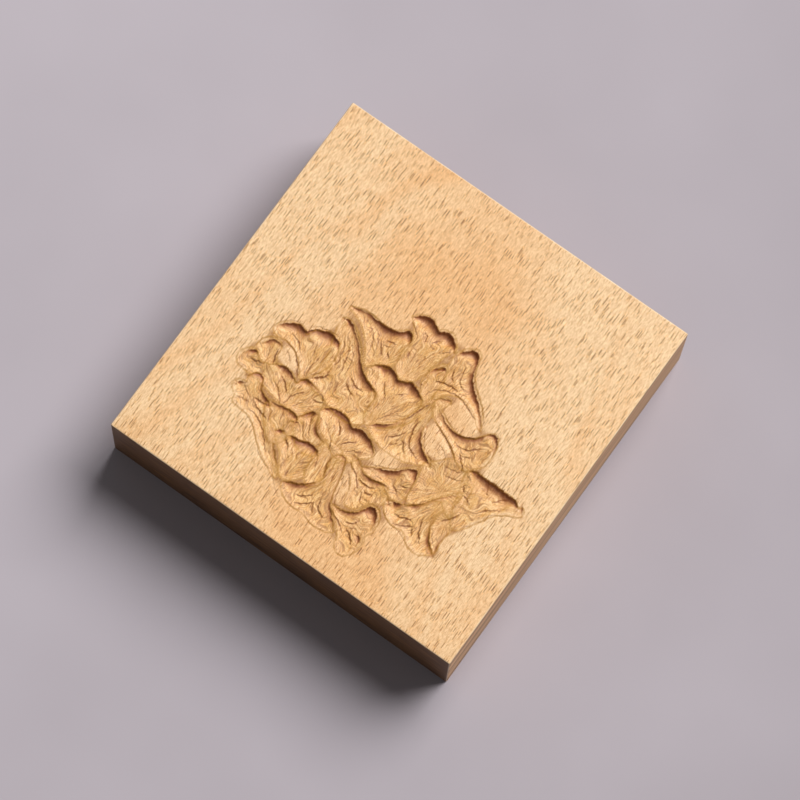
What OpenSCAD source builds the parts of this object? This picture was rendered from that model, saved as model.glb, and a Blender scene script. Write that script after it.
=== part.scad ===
// Wooden candy mold: one square block of beech with a spray of fan leaves carved into its top face.
// Millimetres. Z is up, the origin is the centre of the bottom face and the grain runs along Y.

/* [Block] */
// Length of the block along X, across the grain
block_length = 100; // [94:1:160]
// Width of the block along Y, along the grain
block_width = 100; // [94:1:160]
// Height of the block
block_height = 25; // [12:1:40]
// Flat that takes the sharpness off each outer edge
edge_flat = 0.4; // [0.2:0.1:1.5]

/* [Carving] */
// Depth at the rim of the main leaves
rim_depth = 2.1; // [1.9:0.1:3.5]
// Depth at the rim of the leaves that lie behind
side_depth = 1.7; // [1.4:0.1:1.9]
// Depth of the twig and of the inner end of the leaves that open downward
shelf_depth = 1.2; // [0.9:0.1:1.4]
// Depth at the inner end of the leaves that open upward
base_depth = 0.7; // [0.5:0.1:0.9]
// Height of the veins that stand on the floor of a leaf
vein_height = 0.35; // [0.1:0.05:0.45]
// Width of a vein at its foot
vein_width = 1; // [0.4:0.1:1.4]
// Move of the whole spray along X
spray_move_x = 0; // [-3:0.5:3]
// Move of the whole spray along Y
spray_move_y = 0; // [-3:0.5:3]
// Straight pieces between two points of a leaf outline
curve_steps = 3; // [2:1:5]

/* [Hidden] */

// Middle of the 100 mm square that the leaves are drawn on
drawing_middle = [50, 50];
// How far the cuts reach above the top face and below the leaf floors
overshoot = 1;
// Size of the solid that stands above a sloping leaf floor
floor_reach = 120;
// How far the foot of a vein is sunk into the floor
vein_sink = 0.2;

// Each leaf: inner end, rim, depth at the inner end, depth at the rim, outline and veins.
// Outlines and veins are drawn on a 100 mm square, from its left front corner.

// Top fan, two lobes
top_fan = [
    [50.5, 51], [50, 66], base_depth, rim_depth,
    [[43.4, 64.4], [44.2, 65.6], [45.6, 66.5], [47, 66.9], [48.6, 66.5], [49.8, 65.7], [50.3, 65.4],
     [51.2, 66.2], [52.6, 66.7], [54.2, 66.6], [55.4, 65.8], [56.3, 64.7], [56.9, 63.6], [56.3, 62.3],
     [55.4, 60.2], [54.7, 57.8], [54.2, 55], [53.4, 52.5], [52, 50.6], [50.3, 49.8], [48.4, 50.4],
     [47, 52.5], [46.4, 55], [46.4, 57.8], [46.3, 60], [45.8, 61.6], [44.6, 63]],
    [[[47.8, 64.5], [49.1, 62.5], [49.8, 59], [50.2, 54]],
     [[52.8, 64.5], [51.2, 62.6], [50.8, 59], [50.6, 55]]]
];
// Top right fan with a long right edge
top_right_fan = [
    [58.3, 50], [63, 63], base_depth, rim_depth,
    [[57.1, 62.6], [57.7, 64.2], [58.8, 65.6], [60.2, 66.6], [61.5, 66.8], [62.7, 66], [63.2, 64.3],
     [63.6, 62.4], [64.6, 60.6], [66.3, 58.9], [68.3, 57.3], [70.1, 55.8], [71.5, 54], [72.5, 52.2],
     [73, 50.8], [71.8, 51], [70.4, 52.4], [68.4, 53.7], [66, 54.5], [63.6, 54.4], [61.6, 53.4],
     [60.2, 51.6], [59.8, 49.5], [59, 47.5], [57.6, 48.2], [56, 50], [55.3, 53], [56, 57], [57.3, 60]],
    [[[56.8, 55], [59, 55.8], [61, 56.1], [63, 55.8], [66, 55.6]],
     [[61, 62], [61.6, 59.5], [63.2, 57.8], [66, 56.6]], [[59.5, 61], [60, 58.6], [60.5, 57]]]
];
// Small lobe in front of the top right fan
top_right_lobe = [
    [57.5, 49], [56.5, 59], base_depth, rim_depth,
    [[54.4, 54], [54.7, 56.6], [55.6, 58.4], [56.8, 59.3], [57.9, 58.8], [58.5, 57.2], [58.9, 54],
     [58.8, 50.5], [57.5, 48.8], [55.6, 50], [54.6, 52]],
    [[[56.6, 57], [57.2, 54], [57.6, 51]]]
];
// Top left fan with a long left tip
top_left_fan = [
    [43.5, 49.5], [40, 59], base_depth, rim_depth,
    [[29.4, 57.4], [31, 58.4], [33.5, 59.1], [36, 59.1], [38.5, 58.8], [41, 58.9], [42.8, 59.7],
     [44.2, 60.9], [45.4, 61.2], [46.4, 60.5], [47, 58.8], [47.1, 56.5], [47, 54], [46.6, 51.6],
     [45.5, 50.3], [43.8, 49.8], [42.2, 48.3], [41.2, 47.6], [40, 49.2], [38.4, 51.5], [36.2, 54],
     [33.5, 56], [31, 56.9]],
    [[[34, 57], [38, 54.5], [41, 51], [42.5, 49.5]], [[44.5, 57.6], [42.5, 56.4], [41, 55.8]],
     [[41.6, 54.6], [42.5, 52.4], [43.2, 50.5]], [[43.6, 53.6], [44.6, 53.2]]]
];
// Leaf with the long curved right edge, left of the centre
left_sweep = [
    [40, 35], [38, 48], base_depth, side_depth,
    [[47.9, 43.5], [45.2, 44.6], [42.8, 45.6], [40.9, 46.9], [39.4, 48.7], [37.8, 50.9], [35.8, 52.9],
     [33.8, 54.3], [31.8, 55], [30.2, 54.6], [29.8, 53.2], [30.2, 51], [31, 48.5], [31.8, 46],
     [32.2, 42.5], [31.8, 39.5], [31.4, 37.5], [33.5, 35.8], [38.3, 34.8], [41, 34], [45, 33.8],
     [48, 34.6], [49.6, 37], [49, 40]],
    [[[40, 43.9], [41.5, 42.8], [44, 42.4]], [[40.3, 41.7], [41, 40.6], [43.5, 40.2]],
     [[33.5, 51], [34.8, 47.5], [35, 44], [34.6, 40.8], [32.7, 38.4]],
     [[36, 49.5], [37.3, 46.5], [37.6, 43], [37.5, 40]]]
];
// Upper left fan
upper_left_fan = [
    [31, 36.5], [26, 47], base_depth, rim_depth,
    [[30.3, 36], [28.8, 37.8], [27, 39.6], [24.8, 41], [22, 41.6], [19.5, 41.3], [18, 42],
     [17.6, 43.2], [18.2, 44.6], [20, 46], [22.3, 47], [24.2, 46.6], [25.2, 46], [26.5, 48],
     [28.5, 49.3], [30.6, 49.6], [32.6, 49], [33.6, 47.4], [34.3, 45], [34, 42], [32.8, 39]],
    [[[22, 44.8], [24, 43.9], [25.6, 42.4], [28, 39.3], [29.8, 37]],
     [[27, 46.5], [29.5, 43], [30.8, 39.5]], [[31.6, 46], [31.8, 43], [31.3, 39.5]]]
];
// Small lobe under the upper left fan
upper_left_lobe = [
    [21.5, 35], [19.5, 40.5], base_depth, side_depth,
    [[17, 36.3], [17, 38.2], [17.8, 39.8], [19.5, 40.7], [21.3, 40.6], [22.3, 39.3], [22.6, 37.5],
     [23.2, 35.3], [21.5, 34.3], [19.5, 34.3], [18.2, 35.2]],
    [[[19.3, 39], [20.5, 36.8], [21.2, 35]]]
];
// Left fan, three lobes
left_fan = [
    [30.5, 28.3], [27, 36], base_depth, rim_depth,
    [[28, 28.6], [24.5, 29.2], [20, 29.9], [16.8, 29.9], [15, 30.8], [14.4, 32.3], [14.9, 34],
     [16, 35.3], [17.4, 35.8], [18.4, 35.2], [19.3, 34.2], [21, 34.2], [22.8, 34.8], [24, 35.9],
     [26, 36.4], [28, 36], [29.4, 35], [30.2, 34.6], [31, 36.2], [32.2, 37], [33.8, 36.6],
     [35.8, 36.3], [37.6, 36], [38.4, 35.1], [38.6, 33.8], [38.4, 32], [37.5, 30], [36, 28.4], [33, 28]],
    [[[26.8, 34], [28.3, 32.6], [29.5, 30.6], [30.1, 28.8]],
     [[25.5, 31.8], [27.5, 30.5], [29.6, 28.6]], [[32.5, 33.8], [31.2, 31.8], [30.6, 29.5]],
     [[17.4, 33.2], [18.8, 33.5], [20.4, 34]], [[35.6, 33.8], [37, 34], [37.9, 34.7]],
     [[35, 32.5], [33, 30.8], [31.4, 28.8]]]
];
// Lower left fan with its long stalk
lower_left_fan = [
    [32, 20], [21, 30], base_depth, rim_depth,
    [[38.5, 12.7], [36, 14], [33, 15.7], [30, 18], [27.5, 20.2], [25, 21.3], [21.8, 21.5],
     [20.1, 22.2], [19.8, 23.6], [18.6, 24.3], [17.6, 25.7], [18.2, 27.2], [19.6, 27.8], [20.3, 28],
     [19.9, 29.2], [20.5, 30.6], [21.8, 31.5], [23, 31.1], [23.6, 29.6], [24.2, 28.4], [25.6, 27.8],
     [27.1, 27.2], [28.6, 26], [30, 24], [32, 21.6], [33.6, 19.9], [35.5, 17.9], [37.6, 15.9],
     [39.5, 13.8], [39.8, 12.6]],
    [[[24.5, 22.7], [27.3, 22.4], [29.5, 21.3], [31.5, 19.5], [33.5, 17], [36, 14.9]],
     [[24.2, 26.1], [26, 26.3], [27.8, 26.5]], [[24.7, 25.2], [26.3, 24.5], [29, 23.6]],
     [[20.4, 27.2], [21.5, 26.2], [23.5, 25.2]], [[20.2, 23.5], [21.6, 24], [23.5, 24.2]]]
];
// Folded leaf behind the lower left fan
lower_left_fold = [
    [35, 21], [31, 28], base_depth, side_depth,
    [[27.2, 27.3], [29.5, 28], [31.8, 28.1], [33.4, 28.5], [34.7, 28.2], [35.4, 27.4], [35.2, 25.5],
     [35.8, 23.5], [36, 21.5], [35, 19.5], [33.2, 19], [31, 20.5], [29, 22.5], [27.6, 24.8]],
    [[[31.8, 27.3], [32.3, 25], [33.5, 22.5]], [[29.8, 26.2], [30.2, 24.5], [31.5, 22.8]]]
];
// Small lobe beside the folded leaf
lower_left_lobe = [
    [36.3, 22.5], [36, 27], base_depth, side_depth,
    [[34.2, 25.2], [35, 26.5], [36.3, 27.3], [37.3, 26.8], [37.6, 24.8], [36.8, 22.8], [35, 22.8],
     [34, 23.8]],
    []
];
// Lower fan, four lobes
lower_fan = [
    [41, 14], [39, 24], base_depth, rim_depth,
    [[40, 13.6], [38.4, 16], [36.6, 18.6], [34.4, 20.3], [32.9, 21.6], [33, 22.6], [34.3, 23.3],
     [35.6, 22.7], [36.4, 22.8], [37.3, 23.8], [38.4, 23.3], [39.2, 23.6], [40.4, 24.4], [42, 24.7],
     [43.6, 24.4], [44.7, 23.3], [45, 21.8], [45.2, 19.5], [45.6, 17.5], [44.5, 15.6], [42, 13.6]],
    [[[38.5, 23], [39.6, 20], [40.3, 16.5]], [[36.6, 21.8], [38, 20.6], [39.4, 18], [40.2, 15.5]],
     [[43.8, 20.6], [42.3, 19.4], [41.3, 17], [41.2, 15]], [[40.9, 22.6], [41, 20], [40.8, 17.5]]]
];
// Single lobe left of the middle fan
lower_lobe = [
    [42, 22.5], [38.5, 31], base_depth, rim_depth,
    [[35.4, 26.8], [35.9, 28.6], [36.8, 30.5], [38.2, 31.5], [39.4, 30.9], [39.9, 29.4], [40.6, 28.1],
     [42, 27.1], [44.2, 26.2], [45, 24.5], [44.5, 22.5], [42, 21.5], [39, 22], [36.8, 24]],
    [[[38.2, 29.5], [39.5, 27], [41, 24.8]], [[36.8, 28.2], [38, 26.3], [39.5, 24.6]]]
];
// Middle fan, two lobes
middle_fan = [
    [46.5, 25.8], [47, 34], base_depth, rim_depth,
    [[45.4, 26.4], [43.5, 27.3], [41.2, 28.8], [39.7, 30.8], [38.8, 32.8], [39.9, 34.2], [41.8, 35.1],
     [44, 35.2], [46, 34.6], [47.1, 33.5], [48.4, 34.3], [50.2, 34.7], [52, 34.1], [53.8, 32.9],
     [55.3, 31.5], [55.7, 30.4], [54.8, 29], [53, 27.6], [52, 26], [50, 25.4], [48.2, 25]],
    [[[43.8, 33.4], [45.2, 32.2], [46, 30.4], [46.1, 28], [46.3, 26]],
     [[50.6, 31.4], [48.8, 29.8], [47.6, 28], [47, 26.3]], [[41, 31], [43.5, 29.5], [45.4, 27.2]],
     [[54, 30.3], [51, 28.8], [48.5, 27]]]
];
// Stalk of the middle fan
middle_stalk = [
    [46.5, 26], [47, 18], base_depth, base_depth,
    [[44, 27.2], [44.2, 22], [44.6, 17.8], [46.6, 15.6], [49, 16.8], [50, 20], [49.2, 24], [49, 27.4]],
    [[[46.3, 25.5], [46.6, 22], [47, 18.5]]]
];
// Bottom fan that opens downward, with its stalk
bottom_fan = [
    [50, 9], [50, 25], shelf_depth, side_depth,
    [[49.8, 26.7], [51, 26.3], [51.7, 24.5], [52.4, 22], [53, 19.3], [53.7, 16.8], [54.5, 14.9],
     [56.3, 13], [58.2, 11], [58.8, 9.9], [57.4, 8.9], [55.5, 8.4], [53.3, 8.4], [51.2, 8.9],
     [50, 9.4], [48, 9.2], [45.8, 9.4], [43.7, 10.2], [42.2, 11.5], [41.7, 13], [43.3, 13.8],
     [45.2, 14.7], [47, 16], [48.4, 17.6], [49.1, 19.4], [48.3, 21.6], [47.8, 23.6], [48.4, 25.8]],
    [[[51.3, 15.3], [52.6, 13.2], [54.3, 11.9]], [[46, 12.4], [48, 13.3], [49.5, 14.9]],
     [[47.3, 10.9], [49, 12.3], [50.5, 13.4]], [[50.6, 13.4], [51.5, 12], [52, 10.5]],
     [[50.4, 23.5], [50.8, 20], [51, 16.5]]]
];
// Bottom right fan, three lobes
bottom_right_fan = [
    [54.6, 14.9], [65, 14.5], base_depth, rim_depth,
    [[54.8, 15.4], [57, 15.6], [59, 16.2], [60.6, 17.6], [61.6, 19.5], [62.8, 20.8], [64.2, 20.8],
     [65.6, 19.7], [66.5, 17.7], [66.5, 15.6], [65.8, 13.6], [66.2, 12.2], [66.3, 10.6], [65.7, 8.7],
     [64.6, 7], [62.8, 6.2], [61.2, 7], [60.3, 8.6], [59.6, 10.3], [58.2, 12], [56.4, 13.6]],
    [[[55.8, 14.4], [58, 13.5], [60.2, 12], [61.5, 10]], [[60.8, 12.5], [62.3, 11.7], [63.7, 10.3]],
     [[59.2, 14], [60.8, 14.7], [62, 16]], [[61.8, 13.3], [63.2, 13.6], [64.8, 13.3]]]
];
// Lower right fan seen from the side
lower_right_fan = [
    [55, 26.8], [67, 31], base_depth, side_depth,
    [[55.2, 27], [57, 28.4], [59.2, 29.6], [61.2, 30.6], [62.8, 31.8], [64, 33], [65, 34.1],
     [66.1, 34.6], [67, 33.8], [67.6, 32], [67.8, 30], [67.9, 27.5], [67.5, 25.5], [65.5, 24.6],
     [63.5, 25.2], [61.5, 26.2], [59, 25.8], [57, 26]],
    [[[57.5, 27.3], [60, 28], [63.4, 28], [65.7, 26.7]], [[63.8, 31], [65, 30], [66.2, 29]]]
];
// Folded leaf under the lower right fan
lower_right_fold = [
    [57.5, 18], [57.5, 26.2], base_depth, side_depth,
    [[52.3, 28.4], [54, 27.6], [55.4, 26.6], [57, 25.9], [58.6, 25.9], [60.5, 26.4], [62.3, 27],
     [63.8, 25.6], [64.6, 23.6], [64.2, 22], [62.6, 21.3], [61, 19.5], [60, 17.8], [58, 16.8],
     [56.6, 17.5], [56, 19.5], [55.2, 22], [53.6, 24.8], [52.4, 26.8]],
    [[[53.2, 26], [55.3, 24.8], [57.5, 24.2], [60.3, 24.5]], [[54.3, 25.6], [56.2, 23.6], [57.2, 22]],
     [[58.6, 22.8], [60, 22.6], [61.2, 23]], [[58.3, 21.8], [59.1, 20.6]]]
];
// Right bottom fan that opens downward
right_bottom_fan = [
    [79, 30], [72, 20], shelf_depth, side_depth,
    [[78.5, 35.6], [76.6, 34.3], [75, 32.3], [73.5, 30.2], [72.3, 28], [70.8, 26.5], [69, 25.4],
     [66.8, 24.9], [65, 24], [64.6, 22.6], [65.6, 21.2], [67.4, 20], [69.5, 19.5], [71.5, 19.8],
     [72.8, 19.4], [74.2, 18], [76, 17.2], [78, 17.1], [79.8, 17.9], [81.1, 19.6], [79.8, 20.6],
     [78.4, 22.2], [77.3, 24.5], [76.7, 27], [77.2, 29.3], [78.5, 31.8]],
    [[[69.5, 20.6], [71.5, 21.6], [73.3, 22.7], [74.8, 26], [76, 30]],
     [[74.3, 18.8], [74.5, 21], [74.2, 24], [75.5, 29]],
     [[67.6, 22.4], [70.8, 22.9], [73, 25], [75, 29]]]
];
// Twig that all the leaves hang on, with its cut end at the right
twig = [
    [72, 36], [86, 41.5], shelf_depth, side_depth,
    [[66.6, 37], [69, 38.6], [70, 40.4], [71.5, 42], [74, 42.6], [76.3, 42.3], [79, 42], [82, 42],
     [86, 42], [89.8, 41.8], [91.3, 40.8], [92.3, 41.3], [93.2, 40.2], [92.6, 39], [91, 37.9],
     [89.2, 36.8], [87.4, 35], [86, 32.6], [84.4, 30], [82.6, 27.6], [81, 27], [79.5, 28.4],
     [77.5, 29.5], [75, 31], [72.5, 27.5], [70, 25.4], [67.6, 25], [66, 27], [65.4, 31], [65.6, 35]],
    [[[85, 38.4], [86.4, 39.4], [88, 40.6]], [[84, 35], [86, 36.6], [89, 37.8]],
     [[70.4, 37.8], [71.5, 37.4], [71.7, 36.4]], [[73, 36.6], [74.3, 37.3], [75.4, 36.9]],
     [[77.8, 37.5], [78.5, 36.7]], [[79, 35.4], [80, 35.8], [80.7, 35.2]],
     [[77.4, 39.9], [78.5, 39.5]], [[71, 33], [72.2, 35], [73.5, 36]],
     [[80.5, 28], [81.5, 31], [83.5, 34]]]
];
// Shallow corner between the twig and the right bottom fan
twig_corner = [
    [79, 28], [80, 22], base_depth, base_depth,
    [[76.4, 28], [77.8, 30], [80.4, 30.4], [81.6, 28.2], [81.4, 26], [81.2, 23], [81.2, 19.9],
     [79.4, 20.4], [77.6, 23], [76.4, 25.6]],
    []
];
// Right fan with a hooked stalk
right_fan = [
    [62, 48], [78, 48], base_depth, rim_depth,
    [[60, 50.5], [60.6, 51.9], [62, 52.8], [63.3, 52.7], [63, 51], [62.6, 49.8], [63.6, 49],
     [65.5, 48], [67.8, 47.2], [70, 47.1], [72, 47.8], [73.8, 49.3], [75, 51.2], [76.5, 52.3],
     [77.9, 51.6], [78.8, 49.5], [79.2, 47], [79, 44.8], [78.2, 43], [76.8, 42], [75.8, 40.5],
     [74, 40.6], [72.3, 41.3], [70.6, 42.7], [68.2, 44.4], [65.6, 45.4], [63.2, 46.2], [61.3, 47.5],
     [60.2, 49]],
    [[[64.5, 46.6], [67.5, 45.6], [71, 45], [73.5, 46], [75.5, 47.5]],
     [[71.5, 43.6], [73.2, 42.6], [75, 40.8]], [[73.4, 43.6], [74.6, 44.1]]]
];
// Inner fan that opens downward
inner_fan = [
    [59.5, 47.5], [59, 35], shelf_depth, side_depth,
    [[58.4, 48.5], [57.6, 46], [56.6, 43.3], [55.3, 41], [53.3, 39], [51, 37.3], [50.4, 36.3],
     [51.4, 35], [54, 33.8], [57, 33.4], [60, 33.4], [63, 34], [66, 35.3], [68.3, 36.7], [67.4, 37.6],
     [65.6, 38.5], [63.8, 39.8], [62.4, 41.6], [61.6, 43.8], [61.4, 45.6], [61.4, 47.5], [60.4, 49.5]],
    [[[59.9, 43], [60.2, 40.3], [61.5, 38], [64.3, 36.3]],
     [[59.2, 43], [58.4, 38.8], [57, 37.8], [55.5, 36.9]], [[59.3, 41], [59.8, 37.2], [61.5, 35.5]],
     [[57.5, 44], [57.3, 41], [55.5, 39]]]
];
// Centre fan, two lobes
centre_fan = [
    [50.5, 38], [50, 50], base_depth, rim_depth,
    [[42.2, 46.8], [42.8, 48.8], [44.3, 50.3], [46.2, 51], [48.2, 50.7], [49.6, 50], [50.3, 49.6],
     [51.6, 50.6], [53.4, 50.9], [55.2, 50.3], [57, 49.2], [58.6, 48], [58.8, 46], [58.4, 43.6],
     [57.4, 41.4], [55.6, 39.4], [53, 37.4], [50.8, 35.8], [48.5, 36.4], [47.8, 40], [47.5, 43],
     [45.5, 44.2], [43.3, 45.3]],
    [[[47.2, 48.2], [48.6, 46.4], [49.6, 43.5], [50.2, 40]],
     [[54, 48.4], [52, 46.6], [51, 44], [50.6, 41]], [[44.5, 46.8], [47.5, 44.6]]]
];
leaves = [
    top_fan, top_right_fan, top_right_lobe, top_left_fan, left_sweep, upper_left_fan, upper_left_lobe,
    left_fan, lower_left_fan, lower_left_fold, lower_left_lobe, lower_fan, lower_lobe, middle_fan,
    middle_stalk, bottom_fan, bottom_right_fan, lower_right_fan, lower_right_fold, right_bottom_fan,
    twig, twig_corner, right_fan, inner_fan, centre_fan
];

// Point on a smooth curve between b and c, with a before and d after them
function curve_point(a, b, c, d, t) =
    (2 * b + (c - a) * t + (2 * a - 5 * b + 4 * c - d) * t * t + (3 * b - a - 3 * c + d) * t * t * t) / 2;

// Closed smooth outline through all the given points
function smooth_outline(points) =
    let (count = len(points))
    [for (i = [0 : count - 1], step = [0 : curve_steps - 1])
        curve_point(
            points[(i + count - 1) % count],
            points[i],
            points[(i + 1) % count],
            points[(i + 2) % count],
            step / curve_steps
        )];

// Share of the way from the inner end of a leaf to its rim
function way_to_rim(leaf, point) =
    let (axis = leaf[1] - leaf[0])
    ((point - leaf[0]) * axis) / (axis * axis);

// Depth of the leaf floor at a point
function floor_depth(leaf, point) =
    leaf[2] + (leaf[3] - leaf[2]) * min(1, max(0, way_to_rim(leaf, point)));

// Direction of a vein at one of its points
function vein_direction(line, i) =
    let (step = line[min(i + 1, len(line) - 1)] - line[max(i - 1, 0)])
    step / norm(step);

// Left foot, right foot and crest of a vein at one of its points; both ends fade into the floor
function vein_section(leaf, line, i) =
    let (
        at_end = i == 0 || i == len(line) - 1,
        direction = vein_direction(line, i),
        half = (at_end ? 0.4 : 0.5) * vein_width,
        across = half * [-direction[1], direction[0]],
        floor_z = -floor_depth(leaf, line[i]),
        left = line[i] + across,
        right = line[i] - across
    )
    [
        [left[0], left[1], floor_z - vein_sink],
        [right[0], right[1], floor_z - vein_sink],
        [line[i][0], line[i][1], floor_z + (at_end ? -vein_sink / 2 : vein_height)]
    ];

// Vein with a sharp crest along a line on the leaf floor
module vein(leaf, line) {
    last = len(line) - 1;
    points = [for (i = [0 : last], corner = vein_section(leaf, line, i)) corner];
    sides = [
        for (i = [0 : last - 1], side = [0 : 2])
            let (
                a = 3 * i + side,
                b = 3 * i + (side + 1) % 3,
                c = a + 3,
                d = b + 3
            )
            each [[a, b, c], [b, d, c]]
    ];
    polyhedron(points, concat([[0, 2, 1]], sides, [[3 * last, 3 * last + 1, 3 * last + 2]]));
}

// Everything above the floor of a leaf: level at the inner end, sloping to the rim and level past it
module above_floor(leaf) {
    axis = leaf[1] - leaf[0];
    heading = atan2(axis[1], axis[0]);
    translate([leaf[0][0], leaf[0][1], 0])
        rotate([90, 0, heading])
            translate([0, 0, -floor_reach / 2])
                linear_extrude(floor_reach)
                    polygon([
                        [-floor_reach, -leaf[2]],
                        [0, -leaf[2]],
                        [norm(axis), -leaf[3]],
                        [floor_reach, -leaf[3]],
                        [floor_reach, floor_reach],
                        [-floor_reach, floor_reach]
                    ]);
}

// Wood that is cut away for one leaf
module leaf_cut(leaf) {
    difference() {
        intersection() {
            translate([0, 0, -leaf[3] - overshoot])
                linear_extrude(leaf[3] + 2 * overshoot)
                    polygon(smooth_outline(leaf[4]));
            above_floor(leaf);
        }
        for (line = leaf[5])
            vein(leaf, line);
    }
}

// Rectangle with its four corners cut off
module cut_corner_rectangle(length, width) {
    polygon([
        [-length / 2 + edge_flat, -width / 2],
        [length / 2 - edge_flat, -width / 2],
        [length / 2, -width / 2 + edge_flat],
        [length / 2, width / 2 - edge_flat],
        [length / 2 - edge_flat, width / 2],
        [-length / 2 + edge_flat, width / 2],
        [-length / 2, width / 2 - edge_flat],
        [-length / 2, -width / 2 + edge_flat]
    ]);
}

// Block with a small flat along all twelve edges
module plain_block() {
    translate([0, 0, block_height / 2])
        intersection() {
            translate([0, 0, -block_height / 2])
                linear_extrude(block_height)
                    cut_corner_rectangle(block_length, block_width);
            rotate([90, 0, 0])
                translate([0, 0, -block_width / 2])
                    linear_extrude(block_width)
                        cut_corner_rectangle(block_length, block_height);
            rotate([90, 0, 90])
                translate([0, 0, -block_length / 2])
                    linear_extrude(block_length)
                        cut_corner_rectangle(block_width, block_height);
        }
}

// The mold: the block with the spray of leaves carved into its top
module mold_block() {
    color("burlywood")
        difference() {
            plain_block();
            translate([spray_move_x - drawing_middle[0], spray_move_y - drawing_middle[1], block_height])
                for (leaf = leaves)
                    leaf_cut(leaf);
        }
}

mold_block();
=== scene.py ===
# %% [markdown]
# A wooden candy mold is one block of beech with a picture cut into its top, here a spray of fan leaves.
# Dough or sugar paste is pressed into the hollows and knocked out again, so every hollow is shallow and
# open towards the top. The lesson follows a maker: saw the block, soften its edges, draw the leaves,
# carve them, and then look after the wood itself. The frame gives the block's real size and place.

import math

import bmesh
import bpy
import numpy as np
from mathutils import Matrix, Vector


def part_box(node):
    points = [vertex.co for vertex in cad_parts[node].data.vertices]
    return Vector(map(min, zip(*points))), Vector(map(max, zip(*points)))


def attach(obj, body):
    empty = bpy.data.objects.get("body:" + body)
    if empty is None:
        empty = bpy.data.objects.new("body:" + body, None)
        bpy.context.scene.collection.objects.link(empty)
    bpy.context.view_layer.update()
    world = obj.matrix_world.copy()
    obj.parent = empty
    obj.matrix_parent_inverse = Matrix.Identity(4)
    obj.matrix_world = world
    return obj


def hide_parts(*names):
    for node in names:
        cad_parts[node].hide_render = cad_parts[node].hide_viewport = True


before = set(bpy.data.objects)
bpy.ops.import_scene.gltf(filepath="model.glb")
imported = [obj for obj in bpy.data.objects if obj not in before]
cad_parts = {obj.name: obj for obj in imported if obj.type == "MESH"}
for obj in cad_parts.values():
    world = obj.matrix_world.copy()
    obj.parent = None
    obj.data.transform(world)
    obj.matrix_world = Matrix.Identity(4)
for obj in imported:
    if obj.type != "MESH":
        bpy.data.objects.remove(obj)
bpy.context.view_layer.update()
MM = 0.001
low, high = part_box("mold_block")
size = high - low
top_z = high.z
print("block", [round(side / MM, 2) for side in size], "mm")

# %% [markdown]
# The real block is sawn from one board, planed and sanded. A cube at the block's size gives the same six
# flat faces, and its top can be divided into a clean grid of points later on.

# %% Saw the block
bpy.ops.object.select_all(action="DESELECT")
bpy.ops.mesh.primitive_cube_add(size=1, location=(low + high) / 2, scale=size)
block = bpy.context.object
block.name = "carved_block"
bpy.ops.object.transform_apply(location=True, rotation=True, scale=True)
print("sawn:", block.name)

# %% [markdown]
# Its edges are only just broken, so that they don't splinter. A bevel of less than half a millimetre gives
# that: a thin bright line along each edge, and sides that stay flat. Rounder ones would look moulded.

# %% Break the edges
EDGE_ROUND = 0.4 * MM
EDGE_STEPS = 3
bpy.ops.object.mode_set(mode="EDIT")
bpy.ops.mesh.select_all(action="SELECT")
bpy.ops.mesh.bevel(offset=EDGE_ROUND, segments=EDGE_STEPS, affect="EDGES")
bpy.ops.object.mode_set(mode="OBJECT")
print("block with broken edges:", len(block.data.polygons), "faces")

# %% [markdown]
# The carving is a drawing before it is a cut. Each leaf is a closed outline of points on a 100 mm
# square, from its left front corner, and a smooth curve runs through them. Inside it the ground is
# lowered a little, with soft edges, as a carver does first to set the leaves off from the flat wood. The
# inner end is where the leaf joins its stalk; shallow flutes run out from it.

# %% Draw the leaves
leaves = []


def leaf(name, inner, outline):
    leaves.append({"name": name, "inner": np.array(inner, float), "outline": np.array(outline, float)})


# Top fan, two lobes
leaf("top_fan", (50.5, 50), [(43.4, 64.4), (44.2, 65.6), (45.6, 66.5), (47, 66.9), (48.6, 66.5),
    (49.8, 65.7), (50.3, 65.4), (51.2, 66.2), (52.6, 66.7), (54.2, 66.6), (55.4, 65.8), (56.3, 64.7),
    (56.9, 63.6), (56.3, 62.3), (55.4, 60.2), (54.7, 57.8), (54.2, 55), (53.4, 52.5), (52, 50.6),
    (50.3, 49.8), (48.4, 50.4), (47, 52.5), (46.4, 55), (46.4, 57.8), (46.3, 60), (45.8, 61.6), (44.6, 63)])
# Top right fan with a long right edge
leaf("top_right_fan", (58.3, 50), [(57.1, 62.6), (57.7, 64.2), (58.8, 65.6), (60.2, 66.6), (61.5, 66.8),
    (62.7, 66), (63.2, 64.3), (63.6, 62.4), (64.6, 60.6), (66.3, 58.9), (68.3, 57.3), (70.1, 55.8),
    (71.5, 54), (72.5, 52.2), (73, 50.8), (71.8, 51), (70.4, 52.4), (68.4, 53.7), (66, 54.5),
    (63.6, 54.4), (61.6, 53.4), (60.2, 51.6), (59.8, 49.5), (59, 47.5), (57.6, 48.2), (56, 50),
    (55.3, 53), (56, 57), (57.3, 60)])
# Small lobe in front of the top right fan
leaf("top_right_lobe", (57.5, 50), [(54.4, 54), (54.7, 56.6), (55.6, 58.4), (56.8, 59.3), (57.9, 58.8),
    (58.5, 57.2), (58.9, 54), (58.8, 50.5), (57.5, 48.8), (55.6, 50), (54.6, 52)])
# Top left fan with a long left tip
leaf("top_left_fan", (43.5, 49.5), [(29.4, 57.4), (31, 58.4), (33.5, 59.1), (36, 59.1), (38.5, 58.8),
    (41, 58.9), (42.8, 59.7), (44.2, 60.9), (45.4, 61.2), (46.4, 60.5), (47, 58.8), (47.1, 56.5),
    (47, 54), (46.6, 51.6), (45.5, 50.3), (43.8, 49.8), (42.2, 48.3), (41.2, 47.6), (40, 49.2),
    (38.4, 51.5), (36.2, 54), (33.5, 56), (31, 56.9)])
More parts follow.
